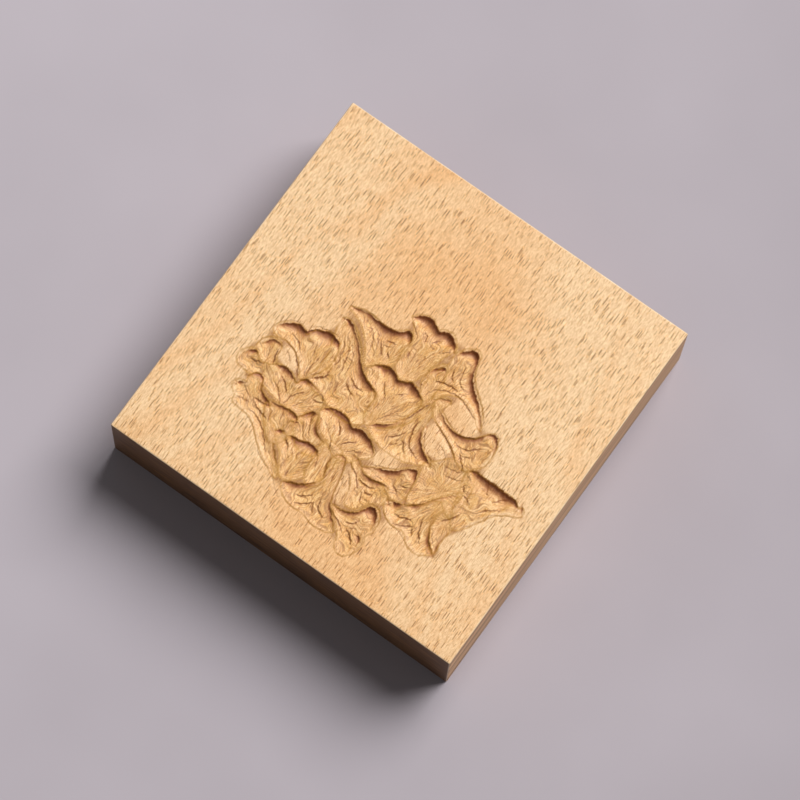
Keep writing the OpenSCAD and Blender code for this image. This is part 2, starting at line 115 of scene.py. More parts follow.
# Leaf with the long curved right edge, left of the centre
leaf("left_sweep", (31, 56.5), [(47.9, 43.5), (45.2, 44.6), (42.8, 45.6), (40.9, 46.9), (39.4, 48.7),
    (37.8, 50.9), (35.8, 52.9), (33.8, 54.3), (31.8, 55), (30.2, 54.6), (29.8, 53.2), (30.2, 51),
    (31, 48.5), (31.8, 46), (32.2, 42.5), (31.8, 39.5), (31.4, 37.5), (33.5, 35.8), (38.3, 34.8),
    (41, 34), (45, 33.8), (48, 34.6), (49.6, 37), (49, 40)])
# Upper left fan
leaf("upper_left_fan", (31, 36.5), [(30.3, 36), (28.8, 37.8), (27, 39.6), (24.8, 41), (22, 41.6),
    (19.5, 41.3), (18, 42), (17.6, 43.2), (18.2, 44.6), (20, 46), (22.3, 47), (24.2, 46.6), (25.2, 46),
    (26.5, 48), (28.5, 49.3), (30.6, 49.6), (32.6, 49), (33.6, 47.4), (34.3, 45), (34, 42), (32.8, 39)])
# Small lobe under the upper left fan
leaf("upper_left_lobe", (21.5, 35), [(17, 36.3), (17, 38.2), (17.8, 39.8), (19.5, 40.7), (21.3, 40.6),
    (22.3, 39.3), (22.6, 37.5), (23.2, 35.3), (21.5, 34.3), (19.5, 34.3), (18.2, 35.2)])
# Left fan, three lobes
leaf("left_fan", (30.5, 28.3), [(28, 28.6), (24.5, 29.2), (20, 29.9), (16.8, 29.9), (15, 30.8),
    (14.4, 32.3), (14.9, 34), (16, 35.3), (17.4, 35.8), (18.4, 35.2), (19.3, 34.2), (21, 34.2),
    (22.8, 34.8), (24, 35.9), (26, 36.4), (28, 36), (29.4, 35), (30.2, 34.6), (31, 36.2), (32.2, 37),
    (33.8, 36.6), (35.8, 36.3), (37.6, 36), (38.4, 35.1), (38.6, 33.8), (38.4, 32), (37.5, 30),
    (36, 28.4), (33, 28)])
# Lower left fan with its long stalk
leaf("lower_left_fan", (41, 11), [(38.5, 12.7), (36, 14), (33, 15.7), (30, 18), (27.5, 20.2), (25, 21.3),
    (21.8, 21.5), (20.1, 22.2), (19.8, 23.6), (18.6, 24.3), (17.6, 25.7), (18.2, 27.2), (19.6, 27.8),
    (20.3, 28), (19.9, 29.2), (20.5, 30.6), (21.8, 31.5), (23, 31.1), (23.6, 29.6), (24.2, 28.4),
    (25.6, 27.8), (27.1, 27.2), (28.6, 26), (30, 24), (32, 21.6), (33.6, 19.9), (35.5, 17.9),
    (37.6, 15.9), (39.5, 13.8), (39.8, 12.6)])
# Folded leaf behind the lower left fan
leaf("lower_left_fold", (35, 21), [(27.2, 27.3), (29.5, 28), (31.8, 28.1), (33.4, 28.5), (34.7, 28.2),
    (35.4, 27.4), (35.2, 25.5), (35.8, 23.5), (36, 21.5), (35, 19.5), (33.2, 19), (31, 20.5), (29, 22.5),
    (27.6, 24.8)])
# Small lobe beside the folded leaf
leaf("lower_left_lobe", (36.3, 22.5), [(34.2, 25.2), (35, 26.5), (36.3, 27.3), (37.3, 26.8), (37.6, 24.8),
    (36.8, 22.8), (35, 22.8), (34, 23.8)])
# Lower fan, four lobes
leaf("lower_fan", (41, 14), [(40, 13.6), (38.4, 16), (36.6, 18.6), (34.4, 20.3), (32.9, 21.6), (33, 22.6),
    (34.3, 23.3), (35.6, 22.7), (36.4, 22.8), (37.3, 23.8), (38.4, 23.3), (39.2, 23.6), (40.4, 24.4),
    (42, 24.7), (43.6, 24.4), (44.7, 23.3), (45, 21.8), (45.2, 19.5), (45.6, 17.5), (44.5, 15.6),
    (42, 13.6)])
# Single lobe left of the middle fan
leaf("lower_lobe", (42, 22.5), [(35.4, 26.8), (35.9, 28.6), (36.8, 30.5), (38.2, 31.5), (39.4, 30.9),
    (39.9, 29.4), (40.6, 28.1), (42, 27.1), (44.2, 26.2), (45, 24.5), (44.5, 22.5), (42, 21.5), (39, 22),
    (36.8, 24)])
# Middle fan, two lobes
leaf("middle_fan", (46.5, 25.8), [(45.4, 26.4), (43.5, 27.3), (41.2, 28.8), (39.7, 30.8), (38.8, 32.8),
    (39.9, 34.2), (41.8, 35.1), (44, 35.2), (46, 34.6), (47.1, 33.5), (48.4, 34.3), (50.2, 34.7),
    (52, 34.1), (53.8, 32.9), (55.3, 31.5), (55.7, 30.4), (54.8, 29), (53, 27.6), (52, 26), (50, 25.4),
    (48.2, 25)])
# Stalk of the middle fan
leaf("middle_stalk", (46.5, 26), [(44, 27.2), (44.2, 22), (44.6, 17.8), (46.6, 15.6), (49, 16.8),
    (50, 20), (49.2, 24), (49, 27.4)])
# Bottom fan that opens downward, with its stalk
leaf("bottom_fan", (51, 28), [(49.8, 26.7), (51, 26.3), (51.7, 24.5), (52.4, 22), (53, 19.3),
    (53.7, 16.8), (54.5, 14.9), (56.3, 13), (58.2, 11), (58.8, 9.9), (57.4, 8.9), (55.5, 8.4),
    (53.3, 8.4), (51.2, 8.9), (50, 9.4), (48, 9.2), (45.8, 9.4), (43.7, 10.2), (42.2, 11.5), (41.7, 13),
    (43.3, 13.8), (45.2, 14.7), (47, 16), (48.4, 17.6), (49.1, 19.4), (48.3, 21.6), (47.8, 23.6),
    (48.4, 25.8)])
# Bottom right fan, three lobes
leaf("bottom_right_fan", (53, 15.5), [(54.8, 15.4), (57, 15.6), (59, 16.2), (60.6, 17.6), (61.6, 19.5),
    (62.8, 20.8), (64.2, 20.8), (65.6, 19.7), (66.5, 17.7), (66.5, 15.6), (65.8, 13.6), (66.2, 12.2),
    (66.3, 10.6), (65.7, 8.7), (64.6, 7), (62.8, 6.2), (61.2, 7), (60.3, 8.6), (59.6, 10.3), (58.2, 12),
    (56.4, 13.6)])
# Lower right fan seen from the side
leaf("lower_right_fan", (53, 27), [(55.2, 27), (57, 28.4), (59.2, 29.6), (61.2, 30.6), (62.8, 31.8),
    (64, 33), (65, 34.1), (66.1, 34.6), (67, 33.8), (67.6, 32), (67.8, 30), (67.9, 27.5), (67.5, 25.5),
    (65.5, 24.6), (63.5, 25.2), (61.5, 26.2), (59, 25.8), (57, 26)])
# Folded leaf under the lower right fan
leaf("lower_right_fold", (52, 27.5), [(52.3, 28.4), (54, 27.6), (55.4, 26.6), (57, 25.9), (58.6, 25.9),
    (60.5, 26.4), (62.3, 27), (63.8, 25.6), (64.6, 23.6), (64.2, 22), (62.6, 21.3), (61, 19.5),
    (60, 17.8), (58, 16.8), (56.6, 17.5), (56, 19.5), (55.2, 22), (53.6, 24.8), (52.4, 26.8)])
# Right bottom fan that opens downward
leaf("right_bottom_fan", (77, 33), [(78.5, 35.6), (76.6, 34.3), (75, 32.3), (73.5, 30.2), (72.3, 28),
    (70.8, 26.5), (69, 25.4), (66.8, 24.9), (65, 24), (64.6, 22.6), (65.6, 21.2), (67.4, 20),
    (69.5, 19.5), (71.5, 19.8), (72.8, 19.4), (74.2, 18), (76, 17.2), (78, 17.1), (79.8, 17.9),
    (81.1, 19.6), (79.8, 20.6), (78.4, 22.2), (77.3, 24.5), (76.7, 27), (77.2, 29.3), (78.5, 31.8)])
# Twig that all the leaves hang on, with its cut end at the right
leaf("twig", (94, 41), [(76.6, 41), (77.8, 41.9), (79.5, 42), (82, 42), (86, 41.95), (89.6, 41.9),
    (90.6, 41.2), (91.6, 40.6), (92.5, 41.2), (93.2, 40.2), (92.8, 38.9), (91, 37.9), (89.2, 36.8),
    (87.4, 35), (86, 32.6), (84.4, 30), (82.6, 27.6), (81, 27), (79.5, 29.5), (78.2, 33), (77.2, 36.5),
    (76.4, 39)])
# Shallow corner between the twig and the right bottom fan
leaf("twig_corner", (79, 28), [(76.4, 28), (77.8, 30), (80.4, 30.4), (81.6, 28.2), (81.4, 26), (81.2, 23),
    (81.2, 19.9), (79.4, 20.4), (77.6, 23), (76.4, 25.6)])
# Right fan with a hooked stalk
leaf("right_fan", (58, 52), [(60, 50.5), (60.6, 51.9), (62, 52.8), (63.3, 52.7), (63, 51), (62.6, 49.8),
    (63.6, 49), (65.5, 48), (67.8, 47.2), (70, 47.1), (72, 47.8), (73.8, 49.3), (75, 51.2), (76.5, 52.3),
    (77.9, 51.6), (78.8, 49.5), (79.2, 47), (79, 44.8), (78.2, 43), (76.8, 42), (75.8, 40.5), (74, 40.6),
    (72.3, 41.3), (70.6, 42.7), (68.2, 44.4), (65.6, 45.4), (63.2, 46.2), (61.3, 47.5), (60.2, 49)])
# Inner fan that opens downward
leaf("inner_fan", (60, 50), [(58.4, 48.5), (57.6, 46), (56.6, 43.3), (55.3, 41), (53.3, 39), (51, 37.3),
    (50.4, 36.3), (51.4, 35), (54, 33.8), (57, 33.4), (60, 33.4), (63, 34), (66, 35.3), (68.3, 36.7),
    (67.4, 37.6), (65.6, 38.5), (63.8, 39.8), (62.4, 41.6), (61.6, 43.8), (61.4, 45.6), (61.4, 47.5),
    (60.4, 49.5)])
# Centre fan, two lobes
leaf("centre_fan", (50.5, 38), [(42.2, 46.8), (42.8, 48.8), (44.3, 50.3), (46.2, 51), (48.2, 50.7),
    (49.6, 50), (50.3, 49.6), (51.6, 50.6), (53.4, 50.9), (55.2, 50.3), (57, 49.2), (58.6, 48),
    (58.8, 46), (58.4, 43.6), (57.4, 41.4), (55.6, 39.4), (53, 37.4), (50.8, 35.8), (48.5, 36.4),
    (47.8, 40), (47.5, 43), (45.5, 44.2), (43.3, 45.3)])
# Soft ground between the twig and the fans
leaf("twig_root", (74, 33), [(66.8, 36.8), (69, 38.8), (70.6, 40.6), (73, 41.6), (76, 41.4), (78.6, 40.4),
    (80, 37), (80, 33), (79.5, 29), (77.5, 29.5), (75, 31), (72.5, 28), (70, 26.4), (68.2, 26.6),
    (67.8, 30), (67.2, 34)])
print(len(leaves), "leaves:", ", ".join(one["name"] for one in leaves))

# %% [markdown]
# A rim is the far edge of a leaf, where the gouge went in. Each is a line of points with a depth in
# millimetres at each: deep in the middle of a lobe and running out at its ends, which is what gives the
# shadows their shape of a crescent.

# %% Draw the rims
rims = [
    [(43.6, 64.4, 0.17), (44.6, 65.5, 0.56), (46, 66.4, 0.9), (47.6, 66.6, 1.01), (49.1, 66, 0.84),
     (50.6, 65.2, 0.78), (52.1, 65.9, 0.84), (53.5, 66.2, 1.01), (54.7, 65.5, 0.95), (56, 64.5, 0.56),
     (56.6, 63.3, 0.17)],
    [(57.7, 63, 0.11), (58.4, 64.3, 0.45), (59.4, 65.3, 0.62), (60.6, 66.2, 0.95), (61.6, 66.1, 1.01),
     (62.5, 65.2, 0.95), (62.9, 63.8, 0.39), (63.4, 62, 0.34), (64, 60.5, 0.5), (65.1, 59.1, 0.62),
     (66.4, 57.8, 0.56), (67.6, 56.9, 0.5), (69, 55.8, 0.39), (69.9, 54.8, 0.28), (71.1, 53.6, 0.22),
     (72, 52.5, 0.22), (72.8, 51, 0.17)],
    [(29.9, 58, 0.11), (31.6, 58.4, 0.34), (33.3, 58.6, 0.28), (34.7, 58.9, 0.39), (36.4, 58.6, 0.45),
     (38.2, 58.8, 0.73), (39.7, 58.7, 0.84), (41.5, 59, 0.84), (43.3, 59.5, 0.56), (44.5, 60.7, 0.78),
     (45.8, 60.7, 0.9), (46.6, 59.6, 0.67), (46.9, 58, 0.11)],
    [(47.7, 42.6, 0.11), (47.2, 43.8, 0.17), (45.6, 44.4, 0.56), (44, 45, 0.73), (42.3, 45.7, 0.67),
     (40.9, 46.8, 0.56), (39.6, 48, 0.39), (38.7, 49.2, 0.34), (37.5, 50.4, 0.34), (36.3, 51.6, 0.28),
     (35, 52.6, 0.28), (33.6, 53.6, 0.34), (32.3, 54.7, 0.5), (30.7, 54.6, 0.34), (30.5, 53.4, 0.11)],
    [(18, 43.4, 0.11), (18.9, 44.5, 0.28), (20.1, 45.6, 0.5), (21.4, 46.4, 0.73), (22.9, 46.9, 0.78),
     (24.5, 46.4, 0.67), (25.2, 47, 0.39), (26.6, 48.3, 0.5), (28.2, 49, 0.78), (29.8, 49.6, 0.95),
     (31.3, 49.2, 0.78), (32.8, 48.7, 0.62), (33.6, 47.1, 0.11)],
    [(17.8, 37.9, 0.11), (18.4, 39, 0.34), (19.3, 40.1, 0.34), (20.6, 40.4, 0.28), (22.1, 39.9, 0.11)],
    [(15.6, 33.6, 0.11), (16.3, 34.6, 0.28), (17.4, 35.5, 0.5), (18.4, 34.8, 0.11)],
    [(23.9, 35.6, 0.17), (25.4, 36.2, 0.62), (27.1, 36.1, 0.5), (28.6, 35.4, 0.34), (30.1, 34.7, 0.17),
     (30.8, 36.2, 0.5), (32.3, 37, 0.62), (34, 36.5, 0.28), (35.7, 36.1, 0.11)],
    [(18.4, 26, 0.11), (18.8, 26.9, 0.34), (20.2, 27.6, 0.11)],
    [(19.8, 29.5, 0.17), (20.8, 31, 0.39), (22.4, 31.4, 0.45), (23.5, 30.2, 0.28), (24.2, 28.6, 0.28),
     (25.6, 27.7, 0.39), (27.3, 27.1, 0.5), (28.6, 26, 0.11)],
    [(34.3, 19.4, 0.11), (35.3, 18.3, 0.22), (36.6, 17.1, 0.28), (37.7, 16, 0.11)],
    [(28.2, 27.4, 0.17), (29.6, 27.6, 0.28), (31.3, 28, 0.39), (33.1, 28.3, 0.45), (34.5, 28.3, 0.5),
     (35.7, 27.2, 0.45), (35.3, 25.5, 0.11)],
    [(33, 22.2, 0.17), (33.7, 23, 0.5), (34.9, 23.2, 0.17)],
    [(36.4, 23, 0.17), (37.7, 23.6, 0.73), (39.3, 23.7, 0.67), (40.9, 24.4, 0.67), (42.6, 24.4, 0.67),
     (44.1, 23.9, 0.56), (45.2, 22.5, 0.11)],
    [(35.6, 28.3, 0.17), (36.3, 29.6, 0.5), (37.4, 31, 0.73), (38.6, 31.3, 0.17)],
    [(39.7, 30.3, 0.17), (40.2, 28.9, 0.28), (41.1, 27.8, 0.45), (42.3, 27.1, 0.34), (43.7, 26.5, 0.11)],
    [(39, 32.9, 0.11), (40.1, 34.2, 0.45), (41.6, 34.8, 0.56), (43.1, 35, 0.73), (44.8, 34.9, 0.78),
     (46.3, 34.2, 0.62), (47.6, 33.4, 0.62), (49.1, 34.1, 0.84), (50.6, 34.3, 0.9), (52.2, 33.7, 0.78),
     (53.8, 32.9, 0.56), (54.9, 31.9, 0.34), (55.5, 30.5, 0.11)],
    [(41.7, 12.9, 0.11), (43.1, 13.9, 0.45), (44.5, 14.4, 0.56), (46, 15.3, 0.5), (47.1, 16.3, 0.45),
     (48.3, 17.5, 0.11)],
    [(55.3, 15.5, 0.17), (57, 15.5, 0.28), (58.7, 16.1, 0.45), (60.2, 16.9, 0.39), (61.3, 18.4, 0.39),
     (62.2, 19.8, 0.78), (63.4, 20.5, 0.9), (64.5, 19.8, 0.73), (65.3, 18.6, 0.56), (65.7, 17.2, 0.22),
     (65.7, 15.7, 0.11)],
    [(55, 27.1, 0.17), (56.4, 27.8, 0.17), (57.9, 28.7, 0.22), (59.5, 29.4, 0.5), (60.9, 30, 0.62),
     (62.2, 30.8, 0.62), (63.5, 32.1, 0.28), (64.8, 33.3, 0.39), (65.9, 33.9, 0.78), (66.5, 33.7, 0.5),
     (67.3, 32.3, 0.5), (67.6, 30.6, 0.17), (67.8, 29.1, 0.17), (67.9, 27.6, 0.11), (68.7, 25.6, 0.17)],
    [(52.3, 28.1, 0.17), (53.2, 28, 0.22), (54.6, 27, 0.17)],
    [(55.2, 26.5, 0.17), (56.8, 25.8, 0.28), (58.4, 25.9, 0.45), (60.1, 26.2, 0.5), (61.5, 26.8, 0.22),
     (62.8, 26.3, 0.11)],
    [(64.7, 24.6, 0.11), (65.5, 23.5, 0.28), (65.1, 22.6, 0.11)],
    [(81.5, 19.2, 0.17), (80.2, 20.4, 0.39), (79, 21.3, 0.45), (78.1, 22.5, 0.39), (77.2, 24.1, 0.22),
     (76.9, 25.6, 0.22), (76.8, 27, 0.11)],
    [(77.4, 34.4, 0.11), (76.2, 33.3, 0.17), (75, 32, 0.22), (73.8, 30.7, 0.22), (72.8, 29.3, 0.22),
     (71.8, 27.9, 0.34), (70.6, 26.7, 0.5), (69.3, 25.6, 0.17)],
    [(68.4, 25.1, 0.17), (66.9, 24.7, 0.62), (65.8, 24.4, 0.17)],
    [(76.5, 40.8, 0.11), (77.2, 41.9, 0.45), (79, 42, 0.62), (80.8, 41.9, 0.73), (82.3, 42, 0.95),
     (83.8, 42, 0.95), (85.5, 42, 0.9), (87.3, 41.8, 0.9), (88.8, 41.8, 0.78), (90.2, 41.6, 0.67),
     (91.6, 40.4, 0.11)],
    [(62.8, 49, 0.11), (64.3, 48.1, 0.28), (65.7, 47.4, 0.28), (67.5, 47, 0.39), (69.3, 47, 0.5),
     (70.8, 47.4, 0.56), (72.3, 48.1, 0.5), (73.7, 49.2, 0.45), (74.7, 50.6, 0.22), (75.7, 51.7, 0.39),
     (77.1, 51.9, 0.5), (78.1, 50.8, 0.34), (78.7, 49.4, 0.28), (79, 47.7, 0.11)],
    [(67.8, 36.9, 0.17), (67.1, 37.5, 0.45), (65.5, 38.2, 0.62), (64.3, 39.1, 0.56), (63.1, 40.1, 0.5),
     (62.2, 41.4, 0.39), (61.6, 43.1, 0.17), (62.1, 44.7, 0.11)],
    [(56.4, 43.1, 0.11), (55.8, 41.5, 0.17), (54.8, 39.9, 0.22), (53.3, 38.6, 0.45), (51.8, 37.7, 0.5),
     (50.7, 36.5, 0.17)],
    [(42.4, 48.6, 0.11), (43.7, 49.8, 0.39), (45, 50.6, 0.84), (46.7, 50.9, 0.78), (48.3, 50.5, 0.73),
     (49.8, 49.6, 0.67), (51.2, 50.1, 0.62), (52.7, 50.8, 0.9), (54.3, 50.4, 0.78), (55.6, 49.7, 0.62),
     (57.2, 48.9, 0.17)],
    [(54.5, 54, 0.1), (54.8, 55.7, 0.17), (55.5, 57.1, 0.39), (56.5, 58.2, 0.5), (57.2, 58.5, 0.45),
     (57.9, 58, 0.22), (58, 56.8, 0.1)],
    [(59.8, 49.9, 0.1), (60.1, 51, 0.17), (60.9, 51.9, 0.2), (62, 52.5, 0.25), (63.1, 52.6, 0.22),
     (63.4, 52.2, 0.1)],
    [(48.2, 25.3, 0.1), (48.9, 26.1, 0.22), (49.8, 26.6, 0.28), (50.8, 26.3, 0.28), (51.4, 25.1, 0.25),
     (51.9, 23.7, 0.22), (52.3, 22.1, 0.2), (52.8, 20.4, 0.17), (53.2, 18.7, 0.2), (53.6, 17.1, 0.22),
     (54.1, 15.4, 0.28), (54.8, 14.4, 0.36), (55.8, 13.5, 0.39), (56.6, 12.5, 0.36), (57.6, 11.6, 0.22),
     (58.4, 10.5, 0.1)],
    [(63.2, 12.6, 0.11), (64.2, 12.7, 0.34), (64.9, 12.3, 0.39), (65.2, 11, 0.22), (65.3, 9.9, 0.1)],
    [(34.6, 25.8, 0.11), (35.5, 26.8, 0.34), (36.3, 27, 0.28), (36.9, 26.4, 0.1)],
    [(91.9, 41.6, 0.11), (92.4, 41, 0.31), (92.9, 40.1, 0.11)],
    [(81.3, 26.4, 0.11), (81.1, 24.5, 0.2), (81, 22.7, 0.22), (81.2, 21.1, 0.28), (81.5, 19.7, 0.14)],
]
print(len(rims), "rims")

# %% [markdown]
# Veins are the same kind of cut, made with a smaller tool: a few tenths of a millimetre deep. They run out
# from the stalk or bend along with the leaf's edge.

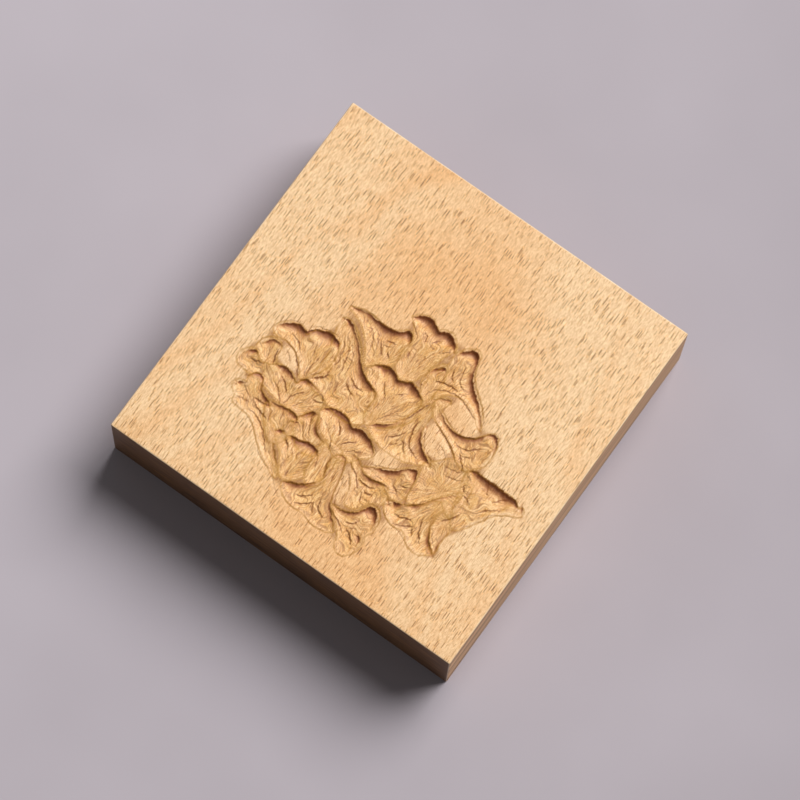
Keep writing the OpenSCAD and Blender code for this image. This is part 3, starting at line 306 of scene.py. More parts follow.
# %% Draw the veins
veins = [
    (0.25, [(22.2, 44.2), (23.5, 43.8), (24.9, 43.1), (25.8, 42.2)]),
    (0.2, [(21.9, 41.7), (23.7, 41.3), (25.4, 40.8), (26.5, 39.8), (27.9, 38.5), (28.7, 37.4),
        (29.3, 36.2)]),
    (0.1, [(23.7, 39.8), (25.1, 39), (26, 37.8)]),
    (0.16, [(31.1, 42.9), (30.8, 40.9), (30.7, 39), (31.1, 37)]),
    (0.13, [(30, 41.7), (30, 39.5), (30.4, 37.8), (31, 36.6)]),
    (0.12, [(28.2, 46.2), (29, 44.4), (29.6, 42.6)]),
    (0.12, [(32.6, 46.4), (32.3, 44.4), (31.8, 42)]),
    (0.15, [(34, 46.2), (34.2, 44.8), (34, 44)]),
    (0.45, [(35.1, 41.7), (34.7, 40.3), (33.9, 39.2), (32.9, 38.3)]),
    (0.12, [(33.5, 40.3), (32.6, 39.2), (32.1, 38.4)]),
    (0.16, [(34, 51.2), (35.3, 49.5), (36.3, 47.6), (36.7, 45.6), (37.2, 44), (37.3, 42)]),
    (0.16, [(33.5, 50.1), (34.5, 48.4), (35, 46.7), (35.3, 44.8), (34.9, 42.9)]),
    (0.13, [(35.1, 50.9), (36.5, 49.3), (37.7, 47.3), (38.3, 45.1), (38.6, 42.9)]),
    (0.3, [(40.4, 43.3), (41.8, 42.6), (43.2, 42.3), (44.3, 42.3)]),
    (0.22, [(40.3, 41.6), (41, 40.9), (41.8, 40.5), (42.9, 40.2)]),
    (0.15, [(38.6, 39.8), (38.8, 38.7), (38.7, 37.6)]),
    (0.1, [(39, 36.9), (40.2, 37.4)]),
    (0.13, [(34.3, 57.5), (36.3, 56.9), (37.9, 55.7), (39.2, 53.7), (39.9, 51.8), (40, 50.1)]),
    (0.12, [(37.6, 57.2), (39.4, 56), (40.4, 54.2), (41, 52.2)]),
    (0.25, [(41, 54.7), (41.8, 53.7), (42.5, 52.6)]),
    (0.35, [(43.8, 53.6), (44.2, 53.4), (44.6, 52.9)]),
    (0.25, [(41.8, 56.2), (42.9, 56.5), (43.9, 56.5)]),
    (0.2, [(42, 54.7), (42.6, 55), (43.1, 55.1)]),
    (0.15, [(41.3, 52), (41.4, 50.9)]),
    (0.25, [(21.9, 38.8), (22.2, 37.3), (22.6, 35.9), (22.9, 35.3)]),
    (0.12, [(19.7, 38.6), (20.4, 37), (20.9, 35.6)]),
    (0.22, [(17.9, 33.3), (19.1, 33.5), (20.7, 33.8)]),
    (0.24, [(26.2, 34.2), (27.4, 33.6), (28.6, 32.5), (29.3, 31.5)]),
    (0.2, [(26.1, 31.8), (27.2, 31.1), (28.4, 30.1), (29.2, 29.1), (29.9, 28.2)]),
    (0.2, [(32.7, 33.7), (31.7, 32.6), (31, 31.2), (30.9, 29.7), (30.7, 28.6)]),
    (0.1, [(34.5, 32.5), (33.6, 30.8), (32.6, 29.2)]),
    (0.25, [(36.7, 35.9), (37.7, 35.3), (37.9, 34.8), (37.7, 34.2), (36.8, 33.8), (35.8, 33.8)]),
    (0.36, [(24.2, 25.9), (25.6, 26), (27, 26.1), (28.1, 26.4)]),
    (0.3, [(24.5, 25.1), (25.3, 24.8), (25.9, 24.3), (27, 24.1), (28.1, 23.7), (29.2, 23.3)]),
    (0.22, [(24.5, 22.6), (26.1, 22.8), (27.8, 22.2), (29.2, 21.4), (30.6, 20.4), (32, 18.9),
        (33.1, 17.5), (34.2, 16.3)]),
    (0.12, [(20.4, 27), (21.8, 26), (23.6, 25)]),
    (0.12, [(20.4, 23.6), (22, 24.1), (23.6, 24.2)]),
    (0.16, [(29.7, 25.8), (29.7, 24.4), (30.2, 23.1)]),
    (0.14, [(31.8, 27.2), (32.2, 25.4), (33.1, 23.8)]),
    (0.3, [(36.4, 21.9), (37.5, 21.1), (38.2, 20.1)]),
    (0.2, [(41, 21.8), (40.7, 20.8), (40.8, 19.8)]),
    (0.15, [(39.5, 19.4), (39.3, 17.7), (39.5, 16.1)]),
    (0.15, [(38.4, 17.7), (39.2, 16.3), (39.6, 15)]),
    (0.15, [(41.2, 17.5), (41.3, 15.5), (41.6, 14.4)]),
    (0.13, [(44.2, 20.8), (42.8, 19.7), (41.7, 18.3)]),
    (0.13, [(45.3, 22.2), (45.9, 20.8), (46.4, 19.7)]),
    (0.13, [(38.2, 29.5), (39.2, 27.6), (40.4, 25.6)]),
    (0.12, [(37, 28.4), (38, 26.5), (39.3, 24.8)]),
    (0.3, [(44, 33.1), (45.3, 31.8), (45.9, 30.7), (46, 30)]),
    (0.22, [(44.5, 28.9), (45.3, 28), (45.9, 26.9), (46.1, 25.9)]),
    (0.25, [(50.1, 31.3), (49.3, 30.5), (48.3, 29.6), (47.6, 28.7)]),
    (0.11, [(41.4, 31), (43, 30), (44.4, 28.4)]),
    (0.11, [(53.6, 30), (51.4, 29.2), (49.4, 27.8)]),
    (0.25, [(47.9, 24.5), (48, 22.8), (48.5, 21.1), (49, 20)]),
    (0.12, [(49.4, 23.6), (49.6, 22), (49.5, 20.3), (49.3, 18.6)]),
    (0.12, [(50.7, 23.4), (51, 21.4), (51.2, 19.2)]),
    (0.3, [(46.1, 12.4), (47.3, 12.9), (48.5, 13.8), (49.3, 14.7)]),
    (0.25, [(47.2, 10.7), (48.5, 11.4), (49.6, 12.2), (50.7, 13.3)]),
    (0.25, [(50.7, 13.3), (51.1, 12.5), (51.7, 11.1)]),
    (0.36, [(51.8, 14.7), (52.3, 13.3), (53.2, 12.2), (54.3, 11.7)]),
    (0.15, [(50.3, 17.5), (50.3, 15.6)]),
    (0.2, [(51.4, 16.4), (51.7, 14.7)]),
    (0.2, [(55.1, 14.3), (56.5, 13.6), (58.2, 12.9), (59.6, 12), (60.7, 11.1)]),
    (0.35, [(61, 12.5), (62.1, 12), (63.1, 11.1), (63.8, 10.2)]),
    (0.2, [(60, 13.9), (61.3, 14.6), (62.1, 15.9)]),
    (0.2, [(61.5, 13.2), (62.6, 13.8)]),
    (0.25, [(52.6, 26.1), (54, 25.3), (55.4, 24.3), (56.2, 23.4), (57.1, 22.3)]),
    (0.3, [(56.5, 24.2), (57.9, 24), (59.3, 24.1), (60.3, 24.5)]),
    (0.25, [(58.9, 22.8), (59.9, 22.5), (61, 22.8)]),
    (0.22, [(58.5, 21.8), (59.2, 20.9), (59.6, 19.7)]),
    (0.3, [(60.1, 21), (60.8, 20.9)]),
    (0.3, [(60.7, 26.4), (61.6, 26.5), (62.4, 26.5)]),
    (0.2, [(62.9, 25.7), (63.6, 25.3)]),
    (0.12, [(53.2, 24.2), (54.9, 22.3), (56, 20.3)]),
    (0.25, [(63.9, 27.8), (64.7, 27.3), (65.6, 26.7)]),
    (0.25, [(65.3, 28.9), (66.1, 29.1), (67.1, 29.3)]),
    (0.2, [(59.2, 27.3), (60, 27.4), (60.7, 27.3)]),
    (0.26, [(68.1, 22.4), (69.3, 22.5), (70.7, 22.9), (72.1, 23.5)]),
    (0.2, [(69.6, 20.2), (71.3, 21), (72.7, 22), (73.5, 22.4)]),
    (0.2, [(73.5, 22.3), (74, 21.1), (74.6, 20)]),
    (0.27, [(74.4, 25), (75, 23.3), (76, 21.3), (77.1, 20)]),
    (0.22, [(48.1, 63.2), (49, 62.7), (49.5, 61.7), (49.5, 61)]),
    (0.22, [(52.4, 63.8), (51.6, 63.1), (50.9, 61.8)]),
    (0.12, [(44.1, 63.2), (45.6, 62.4), (46.7, 61.4)]),
    (0.12, [(55.9, 62.5), (54.5, 61.5), (53.7, 60.7)]),
    (0.13, [(47.8, 59.3), (48, 57.4), (48.2, 55.4)]),
    (0.11, [(49.4, 59.6), (49.2, 57.7), (49.2, 56)]),
    (0.11, [(52.6, 60), (51.8, 57.5), (51.4, 54.6)]),
    (0.2, [(47, 53.8), (47, 52.9)]),
    (0.2, [(61.3, 61.3), (61.5, 59.9), (61.9, 58.5), (62.7, 57.4), (64.3, 56.8)]),
    (0.23, [(59.3, 60.7), (59.4, 59), (59.9, 57.8), (60.6, 57.2)]),
    (0.28, [(57.2, 54.9), (58.4, 55.3), (60.1, 55.7), (61.5, 55.9), (62.9, 55.6)]),
    (0.18, [(57.3, 50.4), (57.6, 51.9), (58.7, 53.2), (60.1, 54), (61.5, 54.5), (63.4, 54.7),
        (65.7, 54.3), (67.6, 53.6), (69.3, 52.9), (70.4, 52.4)]),
    (0.15, [(54.7, 53.8), (54.9, 52.1), (55.6, 50.4)]),
    (0.22, [(59.5, 49.6), (58.7, 47.9), (57.9, 46), (57.3, 44.3), (56.5, 42.6)]),
    (0.12, [(59.1, 44.6), (59, 42.9), (58.8, 41.5)]),
    (0.28, [(59.8, 43.7), (59.8, 42.1), (60.2, 40.4), (60.9, 38.7), (61.8, 37.6), (63.1, 36.9),
        (64.5, 36.5)]),
    (0.2, [(59, 37.9), (59.8, 37.6), (60.4, 36.6), (61.2, 35.8)]),
    (0.22, [(58.4, 40.1), (57.6, 38.6), (56.7, 37.6), (55.8, 36.8)]),
    (0.25, [(56.9, 40.3), (57, 39.4)]),
    (0.15, [(58.3, 38.2), (58.1, 36.5), (57.2, 35.4)]),
    (0.28, [(63.6, 46.1), (64.8, 45.7), (66.5, 45), (68.2, 44.3), (69.8, 43.3), (71.5, 42.1), (72.6, 41.2)]),
    (0.22, [(69.8, 45), (72.1, 44.9), (73.6, 45.5), (74.6, 46.5), (75.4, 47.2)]),
    (0.1, [(67, 42.3), (68.7, 41.8), (69.8, 41)]),
    (0.35, [(72.5, 43.3), (73.5, 42.3), (74.4, 41.5), (75.1, 40.4)]),
    (0.3, [(73.9, 43.7), (74.6, 44)]),
    (0.22, [(47.4, 47.4), (48, 46.4), (48.7, 45.3), (49.2, 44.6)]),
    (0.18, [(53.4, 48.2), (52.4, 47.4), (51.2, 46.4)]),
    (0.15, [(49.2, 42.9), (49.3, 41), (49.1, 39.3)]),
    (0.11, [(54, 43.2), (53.1, 41.8), (52, 40.1), (51.2, 38.7)]),
    (0.25, [(87.9, 41), (87.1, 40.4), (86.3, 39.4), (85.6, 38.5)]),
    (0.25, [(82.6, 40.7), (83.1, 39.6), (83.5, 39.3)]),
    (0.2, [(88.2, 37.8), (86.5, 36.6), (85.1, 35.5), (84.6, 34.8)]),
    (0.2, [(77.1, 40.1), (78.2, 39.6)]),
    (0.35, [(77.8, 37.5), (78.5, 36.6)]),
    (0.3, [(79.2, 35.5), (80.4, 35.4), (80.6, 34.8)]),
    (0.14, [(72.5, 37.2), (74.5, 37.4), (76.5, 38.2)]),
    (0.14, [(71.4, 38.9), (73.4, 39.2), (75.2, 39.9)]),
    (0.12, [(70.1, 41.8), (70, 40.1), (69.8, 38.5)]),
    (0.25, [(80.7, 31.1), (80.3, 30.1), (79.4, 29), (78.2, 27.5)]),
]
print(len(veins), "veins")

# %% [markdown]
# A few lines don't belong to a leaf's floor. They are scores, where the knife ran along an edge or past
# it: thin and hardly deep. Each has a share, because some are full cuts and others only a scratch.

# %% Draw the scores
scores = [
    (0.6, [(32.9, 54.4), (34.3, 53.7), (35.7, 52.7), (37.1, 51.5), (38.5, 50.1), (38.9, 49.5)]),
    (0.5, [(30.3, 54.3), (31.3, 54.5), (32.4, 54.4)]),
    (0.6, [(25.1, 48), (26, 48.8), (27.4, 49.4), (29, 49.8), (30.7, 50), (32.1, 49.8), (32.9, 49.2)]),
    (0.4, [(18.2, 44.8), (19.6, 46.3), (21, 47), (22.6, 47.3)]),
    (0.6, [(31, 58.5), (33.4, 59), (35.4, 59.2), (37, 59)]),
    (0.5, [(63.2, 63.8), (63.8, 61.8), (64.5, 60.7), (65.9, 59.1), (67.2, 58), (68.6, 56.9), (70, 55.8),
        (71.4, 54.4), (72.5, 53), (73, 51.5)]),
    (0.6, [(61.8, 45.4), (62.2, 43.7), (62.9, 42.1), (64, 40.4), (64.8, 39.3)]),
    (0.6, [(65.4, 39.1), (67, 38.3), (67.9, 37.7), (68.4, 36.6)]),
    (0.6, [(63.6, 49.3), (65.1, 48.4), (66.5, 47.8), (67.6, 47.6)]),
    (0.5, [(54.3, 32.8), (55.4, 32.2), (55.9, 31)]),
    (0.7, [(53.3, 22), (53.7, 20.3), (54, 18.9), (54.4, 17.2), (55.1, 15.9), (56.2, 16)]),
    (0.5, [(53.9, 28.1), (54.8, 27.4)]),
    (0.6, [(56.5, 28.8), (57.9, 29.4), (59.6, 30.1), (61.3, 30.9), (62.4, 31.6)]),
    (0.5, [(61.8, 20.7), (63.2, 21.1), (64.6, 20.8), (65.8, 19.7), (66.4, 17.8), (66.2, 15.9)]),
    (0.4, [(65.4, 13.1), (66, 11.7), (65.8, 9.7), (65.4, 7.5)]),
    (0.6, [(77.6, 25), (78.2, 23.6), (79.2, 22.2), (80.4, 21.1)]),
    (0.4, [(20, 21.8), (22, 21.8), (24.2, 21.5), (26.1, 20.8), (27.8, 20), (29.5, 18.6), (31.1, 17),
        (32.8, 15.5), (34.5, 14.4), (36.4, 13.8), (38.1, 13.7), (39.5, 12.2), (41.2, 10.5), (43.1, 9.3)]),
    (0.4, [(44, 10.1), (45.7, 9.5), (47.6, 9.2), (49, 9.7), (50, 10.1), (51.2, 9.2), (52.9, 8.6),
        (55.1, 8.5), (57.1, 9.2), (58.5, 10)]),
    (0.35, [(59, 10.3), (60.4, 9.2), (61.5, 7.8), (62.4, 6.5), (63.5, 6.3), (64.6, 6.8)]),
    (0.4, [(64.9, 23.1), (65.4, 21.7), (66.3, 20.6), (68.2, 19.5), (70.4, 19.5), (72.4, 18.9), (74, 18.1),
        (76, 17.2)]),
    (0.45, [(93.2, 39.1), (91.8, 38), (89.9, 37.2), (88.5, 36.2), (87.1, 35.3), (86.3, 33.3),
        (85.1, 31.6), (83.8, 29.7), (82.4, 28), (81.4, 26.6)]),
    (0.35, [(14.6, 31.6), (15.6, 30.6), (17.2, 30.2), (19, 30.2)]),
    (0.35, [(17, 37.2), (17.2, 38.6), (18, 39.9), (19.4, 40.8)]),
    (0.35, [(17.6, 42.4), (17.5, 43.4), (18, 44.2)]),
]
print(len(scores), "scores")

# %% [markdown]
# The carver's tools come next, as small functions. One runs a smooth curve through drawn points, one
# lays fine steps along it and one tells which way is left of it.

# %% Tools for curves
CURVE_STEPS = 8
LINE_STEP = 0.1


def smooth_curve(points, closed):
    before, after = (points[-1:], points[:2]) if closed else (points[:1], points[-1:])
    line = np.concatenate([before, points, after])
    curve = []
    for a, b, c, d in zip(line, line[1:], line[2:], line[3:]):
        for t in np.arange(CURVE_STEPS) / CURVE_STEPS:
            bend = (2 * a - 5 * b + 4 * c - d) * t ** 2 + (3 * b - a - 3 * c + d) * t ** 3
            curve.append((2 * b + (c - a) * t + bend) / 2)
    curve.append(points[0] if closed else points[-1])
    return np.array(curve)


def fine_line(curve):
    pieces = []
    for start, end in zip(curve[:-1], curve[1:]):
        count = max(1, int(np.linalg.norm(end - start) / LINE_STEP))
        pieces.append(start + (end - start) * (np.arange(count) / count)[:, None])
    return np.concatenate(pieces + [curve[-1:]])


def left_of(line):
    along = np.gradient(line, axis=0)
    along /= np.maximum(np.linalg.norm(along, axis=1), 1e-9)[:, None]
    return np.stack([-along[:, 1], along[:, 0]], 1)


# %% [markdown]
# Others find the points inside an outline or near a line, and how far away they lie. The wander is a sum
# of slow waves, which keeps cuts from looking machine made.

# %% Tools for points
POINTS_AT_ONCE = 2000
SLOWEST, FASTEST = 0.6, 1.6
WAVER = 0.06


def inside(curve, points):
    x, y = points[:, 0], points[:, 1]
    result = np.zeros(len(points), bool)
    for (x0, y0), (x1, y1) in zip(curve[:-1], curve[1:]):
        if y0 == y1:
            continue
        crosses = (y0 > y) != (y1 > y)
        result ^= crosses & (x < (x1 - x0) * (y - y0) / (y1 - y0) + x0)
    return result


def around(points, line, reach):
    return np.flatnonzero(((points > line.min(0) - reach) & (points < line.max(0) + reach)).all(1))


def nearest(points, line):
    gaps = np.empty(len(points))
    index = np.empty(len(points), int)
    for start in range(0, len(points), POINTS_AT_ONCE):
        part = slice(start, start + POINTS_AT_ONCE)
        square = ((points[part, None, :] - line[None, :, :]) ** 2).sum(2)
        index[part] = square.argmin(1)
        gaps[part] = np.sqrt(square.min(1))
    return gaps, index


def wander(points, length_x, length_y, seed, waves=16):
    draw = np.random.default_rng(seed)
    total = np.zeros(len(points))
    for _ in range(waves):
        turn, phase = draw.uniform(0, 2 * math.pi, 2)
        pace = draw.uniform(SLOWEST, FASTEST) * 2 * math.pi
        along = points[:, 0] * math.cos(turn) / length_x + points[:, 1] * math.sin(turn) / length_y
        total += np.sin(pace * along + phase)
    return total / math.sqrt(waves / 2)


def wavered(points, length_x, length_y, seeds):
    return points + WAVER * np.stack([wander(points, length_x, length_y, seed) for seed in seeds], 1)


def ease(share):
    share = np.clip(share, 0, 1)
    return share * share * (3 - 2 * share)


# %% [markdown]
# A gouge goes in steeply at the far rim of a leaf and is lifted out slowly towards its near side. So a cut
# is a line with a depth at each point: the wall drops along the line, and the floor rises again from its
# foot over a few times that depth. Veins are cut to three quarters of their drawn depth, and the scores are
# thinner still, a knife's scratch. All are laid out as fine steps here, each with the side that its wall
# stands on.

# %% Lay out the cuts
FAR_SIDE = np.array([0.26, 0.97])
SCORE_DEPTH = 0.2
VEIN_SHARE = 0.75
TAPER = 0.3
THINNEST = 0.02


def tapered(depth, drawn):
    points = np.array(drawn, float)
    share = np.linspace(0, 1, len(points))
    ends = np.clip(np.minimum(share, 1 - share) / TAPER, 0, 1)
    return np.c_[points, depth * (0.5 + 0.5 * ends)]


def lay_out(drawn):
    curve = fine_line(smooth_curve(np.array(drawn, float), closed=False))
    line, depths = curve[:, :2], np.maximum(curve[:, 2], THINNEST)
    to_wall = left_of(line)
    to_wall *= np.where(to_wall @ FAR_SIDE < 0, -1, 1)[:, None]
    return line, depths, to_wall


rim_cuts = [lay_out(drawn) for drawn in rims]
vein_cuts = [lay_out(tapered(VEIN_SHARE * depth, drawn)) for depth, drawn in veins]
score_cuts = [lay_out(tapered(SCORE_DEPTH * share, drawn)) for share, drawn in scores]
for one in leaves:
    one["curve"] = smooth_curve(one["outline"], closed=True)
rim_length = sum(len(line) for line, *_ in rim_cuts) * LINE_STEP
print(len(rim_cuts), "rims,", round(rim_length), "mm long;", len(vein_cuts), "veins")

# %% [markdown]
# Before the gouge can go in, the top needs enough points to move. Only the part under the drawing is
# cut fine, because the flat wood round it needs none: bisect lays straight cuts across the top, which
# makes square tiles, and subdivide divides each tile into cells a third of a millimetre wide.

# %% Cut the top into cells
DRAWING_MIDDLE = np.array([50.0, 50.0])
MARGIN = 1.0
TILES = (4, 3)
TILE_CUTS = 59
UPWARD = 0.999
drawing_points = np.concatenate([one["outline"] for one in leaves])
carve_low = (drawing_points.min(0) - MARGIN - DRAWING_MIDDLE) * MM
carve_high = (drawing_points.max(0) + MARGIN - DRAWING_MIDDLE) * MM


def select_top(inside_drawing):
    cells = bmesh.from_edit_mesh(block.data)
    for face in cells.faces:
        middle = face.calc_center_median()
        on_top = face.normal.z > UPWARD and middle.z > top_z - EDGE_ROUND / 2
        in_x = carve_low[0] < middle.x < carve_high[0]
        in_y = carve_low[1] < middle.y < carve_high[1]
        face.select_set(bool(on_top and (not inside_drawing or (in_x and in_y))))
    bmesh.update_edit_mesh(block.data)


bpy.ops.object.mode_set(mode="EDIT")
bpy.ops.mesh.select_mode(type="FACE")
for axis, normal in enumerate([(1, 0, 0), (0, 1, 0)]):
    for distance in np.linspace(carve_low[axis], carve_high[axis], TILES[axis] + 1):
        select_top(inside_drawing=False)
        bpy.ops.mesh.bisect(plane_co=np.array(normal) * distance, plane_no=normal)
select_top(inside_drawing=True)
bpy.ops.mesh.subdivide(number_cuts=TILE_CUTS)
print("top cut into cells")

# %% [markdown]
# Cells that lie on a wall or a line are divided once more, so that thin cuts stay crisp. They are found by
# their distance from the lines, a little wider on the floor's side, where the cut goes on.

# %% Divide the cells on walls and lines once more
WALL_BAND = 1.0
LINE_BAND = 0.4
BEYOND_BAND = 0.25
BAND_START = 0.3
BAND_REACH = 1


def past_wall(points, line, at, to_wall):
    return ((points - line[at]) * to_wall[at]).sum(1) > 0


def on_fine_cut(points):
    result = np.zeros(len(points), bool)
    bands = [(one, WALL_BAND) for one in rim_cuts] + [(one, LINE_BAND) for one in vein_cuts + score_cuts]
    for (line, depths, to_wall), band in bands:
        near = around(points, line, BAND_REACH)
        gap, at = nearest(points[near], line)
        beyond = past_wall(points[near], line, at, to_wall)
        result[near] |= gap < np.where(beyond, BEYOND_BAND, np.minimum(band, BAND_START + depths[at]))
    return result


cells = bmesh.from_edit_mesh(block.data)
cells.faces.ensure_lookup_table()
chosen = [face for face in cells.faces if face.select]
middles = np.array([face.calc_center_median()[:2] for face in chosen]) / MM + DRAWING_MIDDLE
for face, fine in zip(chosen, on_fine_cut(middles)):
    face.select_set(bool(fine))
bmesh.update_edit_mesh(block.data)
bpy.ops.mesh.subdivide(number_cuts=1, ngon=False)
bpy.ops.object.mode_set(mode="OBJECT")
print("cells after the second division:", len(block.data.polygons))

# %% [markdown]
# First the ground of the leaves: inside each outline it sinks softly, and flutes as wide as a small gouge
# run out from the stalk. Wood in a leaf, or in a narrow gap between two, counts as tooled. It is worked out
# point by point, because a carver's ground follows no shape that a modifier could give.

# %% Sink the ground
GROUND_DEPTH = 0.4
GROUND_RISE = 2.2
FLUTE_DEPTH, FLUTE_WIDTH = 0.09, 1.1
FLUTE_REACH, FLUTE_STRAY, FLUTE_MIDDLE = 0.7, 0.3, 0.6
STALK_LENGTH, STALK_SHARE = 3, 0.4
LEAF_APART = 40
LEAF_REACH = 3
FAR = 9.0
TOOLED_EDGE = 1.3
GAP_FILL, GAP_EDGE = 2.8, 1.6


def sink_ground(points):
    ground, flow_across, flow_along = np.zeros((3, len(points)))
    rim_gap, nearest_leaf, second_leaf = np.full((3, len(points)), FAR)
    shifted = wavered(points, 2.6, 3.6, seeds=(11, 12))
    flute_shift = wander(points, 4.0, 6.0, seed=14)
    for number, one in enumerate(leaves):
        curve = one["curve"]
        near = around(shifted, curve, LEAF_REACH)
        gap, _ = nearest(shifted[near], fine_line(curve))
        rim_gap[near] = np.minimum(rim_gap[near], gap)
        within = inside(curve, shifted[near])
        to_leaf = np.where(within, -gap, gap)
        second_leaf[near] = np.minimum(second_leaf[near], np.maximum(nearest_leaf[near], to_leaf))
        nearest_leaf[near] = np.minimum(nearest_leaf[near], to_leaf)
        near, gap = near[within], gap[within]
        from_inner = shifted[near] - one["inner"]
        along = np.linalg.norm(from_inner, axis=1)
        reach = np.linalg.norm(one["outline"] - one["inner"], axis=1).mean()
        ahead = one["outline"].mean(0) - one["inner"]
        turn = np.arctan2(from_inner[:, 1], from_inner[:, 0]) - math.atan2(ahead[1], ahead[0])
        turn = (turn + math.pi) % (2 * math.pi) - math.pi
        across = FLUTE_REACH * reach * turn + FLUTE_STRAY * flute_shift[near]
        flute = np.abs(np.sin(math.pi * across / FLUTE_WIDTH)) - FLUTE_MIDDLE
        away = np.clip(along / STALK_LENGTH - STALK_SHARE, 0, 1)
        sunk = ease(gap / GROUND_RISE) * (GROUND_DEPTH + FLUTE_DEPTH * away * flute)
        wins = sunk > ground[near]
        near = near[wins]
        ground[near] = sunk[wins]
        flow_across[near] = across[wins] + LEAF_APART * number
        flow_along[near] = along[wins]
    gap_width = np.maximum(nearest_leaf, 0) + second_leaf
    tooled = np.maximum(ease(-nearest_leaf / TOOLED_EDGE), ease((GAP_FILL - gap_width) / GAP_EDGE))
    return ground, tooled, rim_gap, flow_across, flow_along


mesh = block.data
coordinates = np.empty(len(mesh.vertices) * 3)
mesh.vertices.foreach_get("co", coordinates)
coordinates = coordinates.reshape(-1, 3)
on_top = coordinates[:, 2] > top_z - EDGE_ROUND / 10
top_points = coordinates[on_top][:, :2]
plan = top_points / MM + DRAWING_MIDDLE
ground, tooled, rim_gap, flow_across, flow_along = sink_ground(plan)
print(len(plan), "points on the top; ground sunk by", round(ground.max(), 2), "mm")

# %% [markdown]
# Then the cuts themselves. A rim's wall curves down to its foot like the inside of a gouge, so its run
# grows with its depth, and from there the floor comes up slowly. Long fibres tear out along the grain, so
# the wall's edge is wandered a little. Dust settles against the wall, and each cut also keeps how much
# painted shade lies there: most right under the wall, fading over the floor beyond, where its shadow falls.

# %% Cut the rims, veins and scores
# The dust numbers of each shape also set the reach of the painted shade: below a rim's wall, where its
# shadow falls, and in the grooves of veins and scores.
RIM_SHAPE = {"run": 0.6, "rise": 5.0, "dust_and_shade": (0.1, 4.2), "dust_and_shade_full": 0.45}
VEIN_SHAPE = {"run": 1.0, "rise": 4.5, "dust_and_shade": (0.1, 1.5), "dust_and_shade_full": 0.16}
SCORE_SHAPE = {"run": 0.8, "rise": 0.8, "dust_and_shade": (0.12, 0.6), "dust_and_shade_full": 0.45}
SHORTEST_RUN, SHORTEST_RISE, SHORTEST_DUST_AND_SHADE = 0.12, 0.35, 0.12
OUTER_DUST_AND_SHADE = 0.08
CUT_REACH = 7
HAIR = 0.05
CARVED_FROM = 0.05


def cut(points, cuts, run, rise, dust_and_shade, dust_and_shade_full):
    depth, dust_and_shade_amount = np.zeros((2, len(points)))
    core, spread = dust_and_shade
    shifted = wavered(points, 1.6, 3.0, seeds=(21, 22))
    hair = HAIR * wander(points, 0.6, 2.4, seed=13, waves=30)
    for line, depths, to_wall in cuts:
        near = around(shifted, line, CUT_REACH)
        gap, at = nearest(shifted[near], line)
        beyond = past_wall(shifted[near], line, at, to_wall)
        deep = depths[at]
        inward = np.where(beyond, -gap, gap) + hair[near]
        foot = run * deep + SHORTEST_RUN
        wall = 1 - (1 - np.clip(inward / foot, 0, 1)) ** 3
        back_up = 1 - ease((inward - foot) / (rise * deep + SHORTEST_RISE))
        depth[near] = np.maximum(depth[near], deep * wall * back_up)
        # Dust and painted shade: strongest at the wall and fading over the floor below it, where its shadow
        # falls.
        strength = np.sqrt(np.clip(deep / dust_and_shade_full, 0, 1))
        dust_and_shade_inside = 1 - ease((inward - core) / (spread * deep + SHORTEST_DUST_AND_SHADE))
        dust_and_shade_outside = 1 - ease(-inward / OUTER_DUST_AND_SHADE)
        dust_and_shade_amount[near] = np.maximum(dust_and_shade_amount[near], strength * np.where(inward > 0, dust_and_shade_inside, dust_and_shade_outside))
    return depth, dust_and_shade_amount


rim_depth, rim_dust_and_shade = cut(plan, rim_cuts, **RIM_SHAPE)
# Veins and scores keep a thin line of dust and painted shade along the wall of their grooves.
vein_depth, vein_dust_and_shade = cut(plan, vein_cuts, **VEIN_SHAPE)
score_depth, score_dust_and_shade = cut(plan, score_cuts, **SCORE_SHAPE)
in_drawing = (np.abs(top_points - (carve_low + carve_high) / 2) < (carve_high - carve_low) / 2).all(1)
depth = np.where(in_drawing, ground + rim_depth + vein_depth + score_depth, 0)
coordinates[on_top, 2] -= depth * MM
mesh.vertices.foreach_set("co", coordinates.ravel())
carved_share = (depth > CARVED_FROM).mean()
print("deepest cut", round(depth.max(), 2), "mm; carved", round(carved_share * 100), "% of the points")

# %% [markdown]
# The finish will need to know where the tool went, so each point keeps a few numbers as attributes: if it
# is tooled, how far the next outline is, how much dust and painted shade lies there, and its place along
# the flutes.

# %% Keep the marks of the carving
# Two of the marks carry dust together with painted shade: under the rim walls, and in the grooves of veins
# and scores.
marks = {
    "tooled": (tooled, 0), "rim_gap": (rim_gap, FAR), "wall_dust_and_shade": (rim_dust_and_shade, 0),
    "line_dust_and_shade": (np.maximum(vein_dust_and_shade, score_dust_and_shade), 0),
    "flow_across": (flow_across, 0), "flow_along": (flow_along, 0),
}
for name, (values, elsewhere) in marks.items():
    whole = np.full(len(mesh.vertices), float(elsewhere))
    whole[on_top] = values
    mesh.attributes.new(name, "FLOAT", "POINT").data.foreach_set("value", whole)
mesh.update()
print(len(marks), "marks at each point:", ", ".join(marks))

# %% [markdown]
# Smooth shading alone would bend the light on the flat faces, because a corner point shares its normal
# with the thin edge. A weighted normal modifier lets the wide face win, so that the sides stay flat.

# %% Shade the block
bpy.ops.object.select_all(action="DESELECT")
block.select_set(True)
bpy.context.view_layer.objects.active = block
bpy.ops.object.shade_smooth()
weighted = block.modifiers.new("flat_faces_first", "WEIGHTED_NORMAL")
weighted.weight = 100
bpy.ops.object.modifier_apply(modifier=weighted.name)
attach(block, "root")
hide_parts("mold_block")
print("carved block:", sum(len(face.vertices) - 2 for face in block.data.polygons), "triangles")

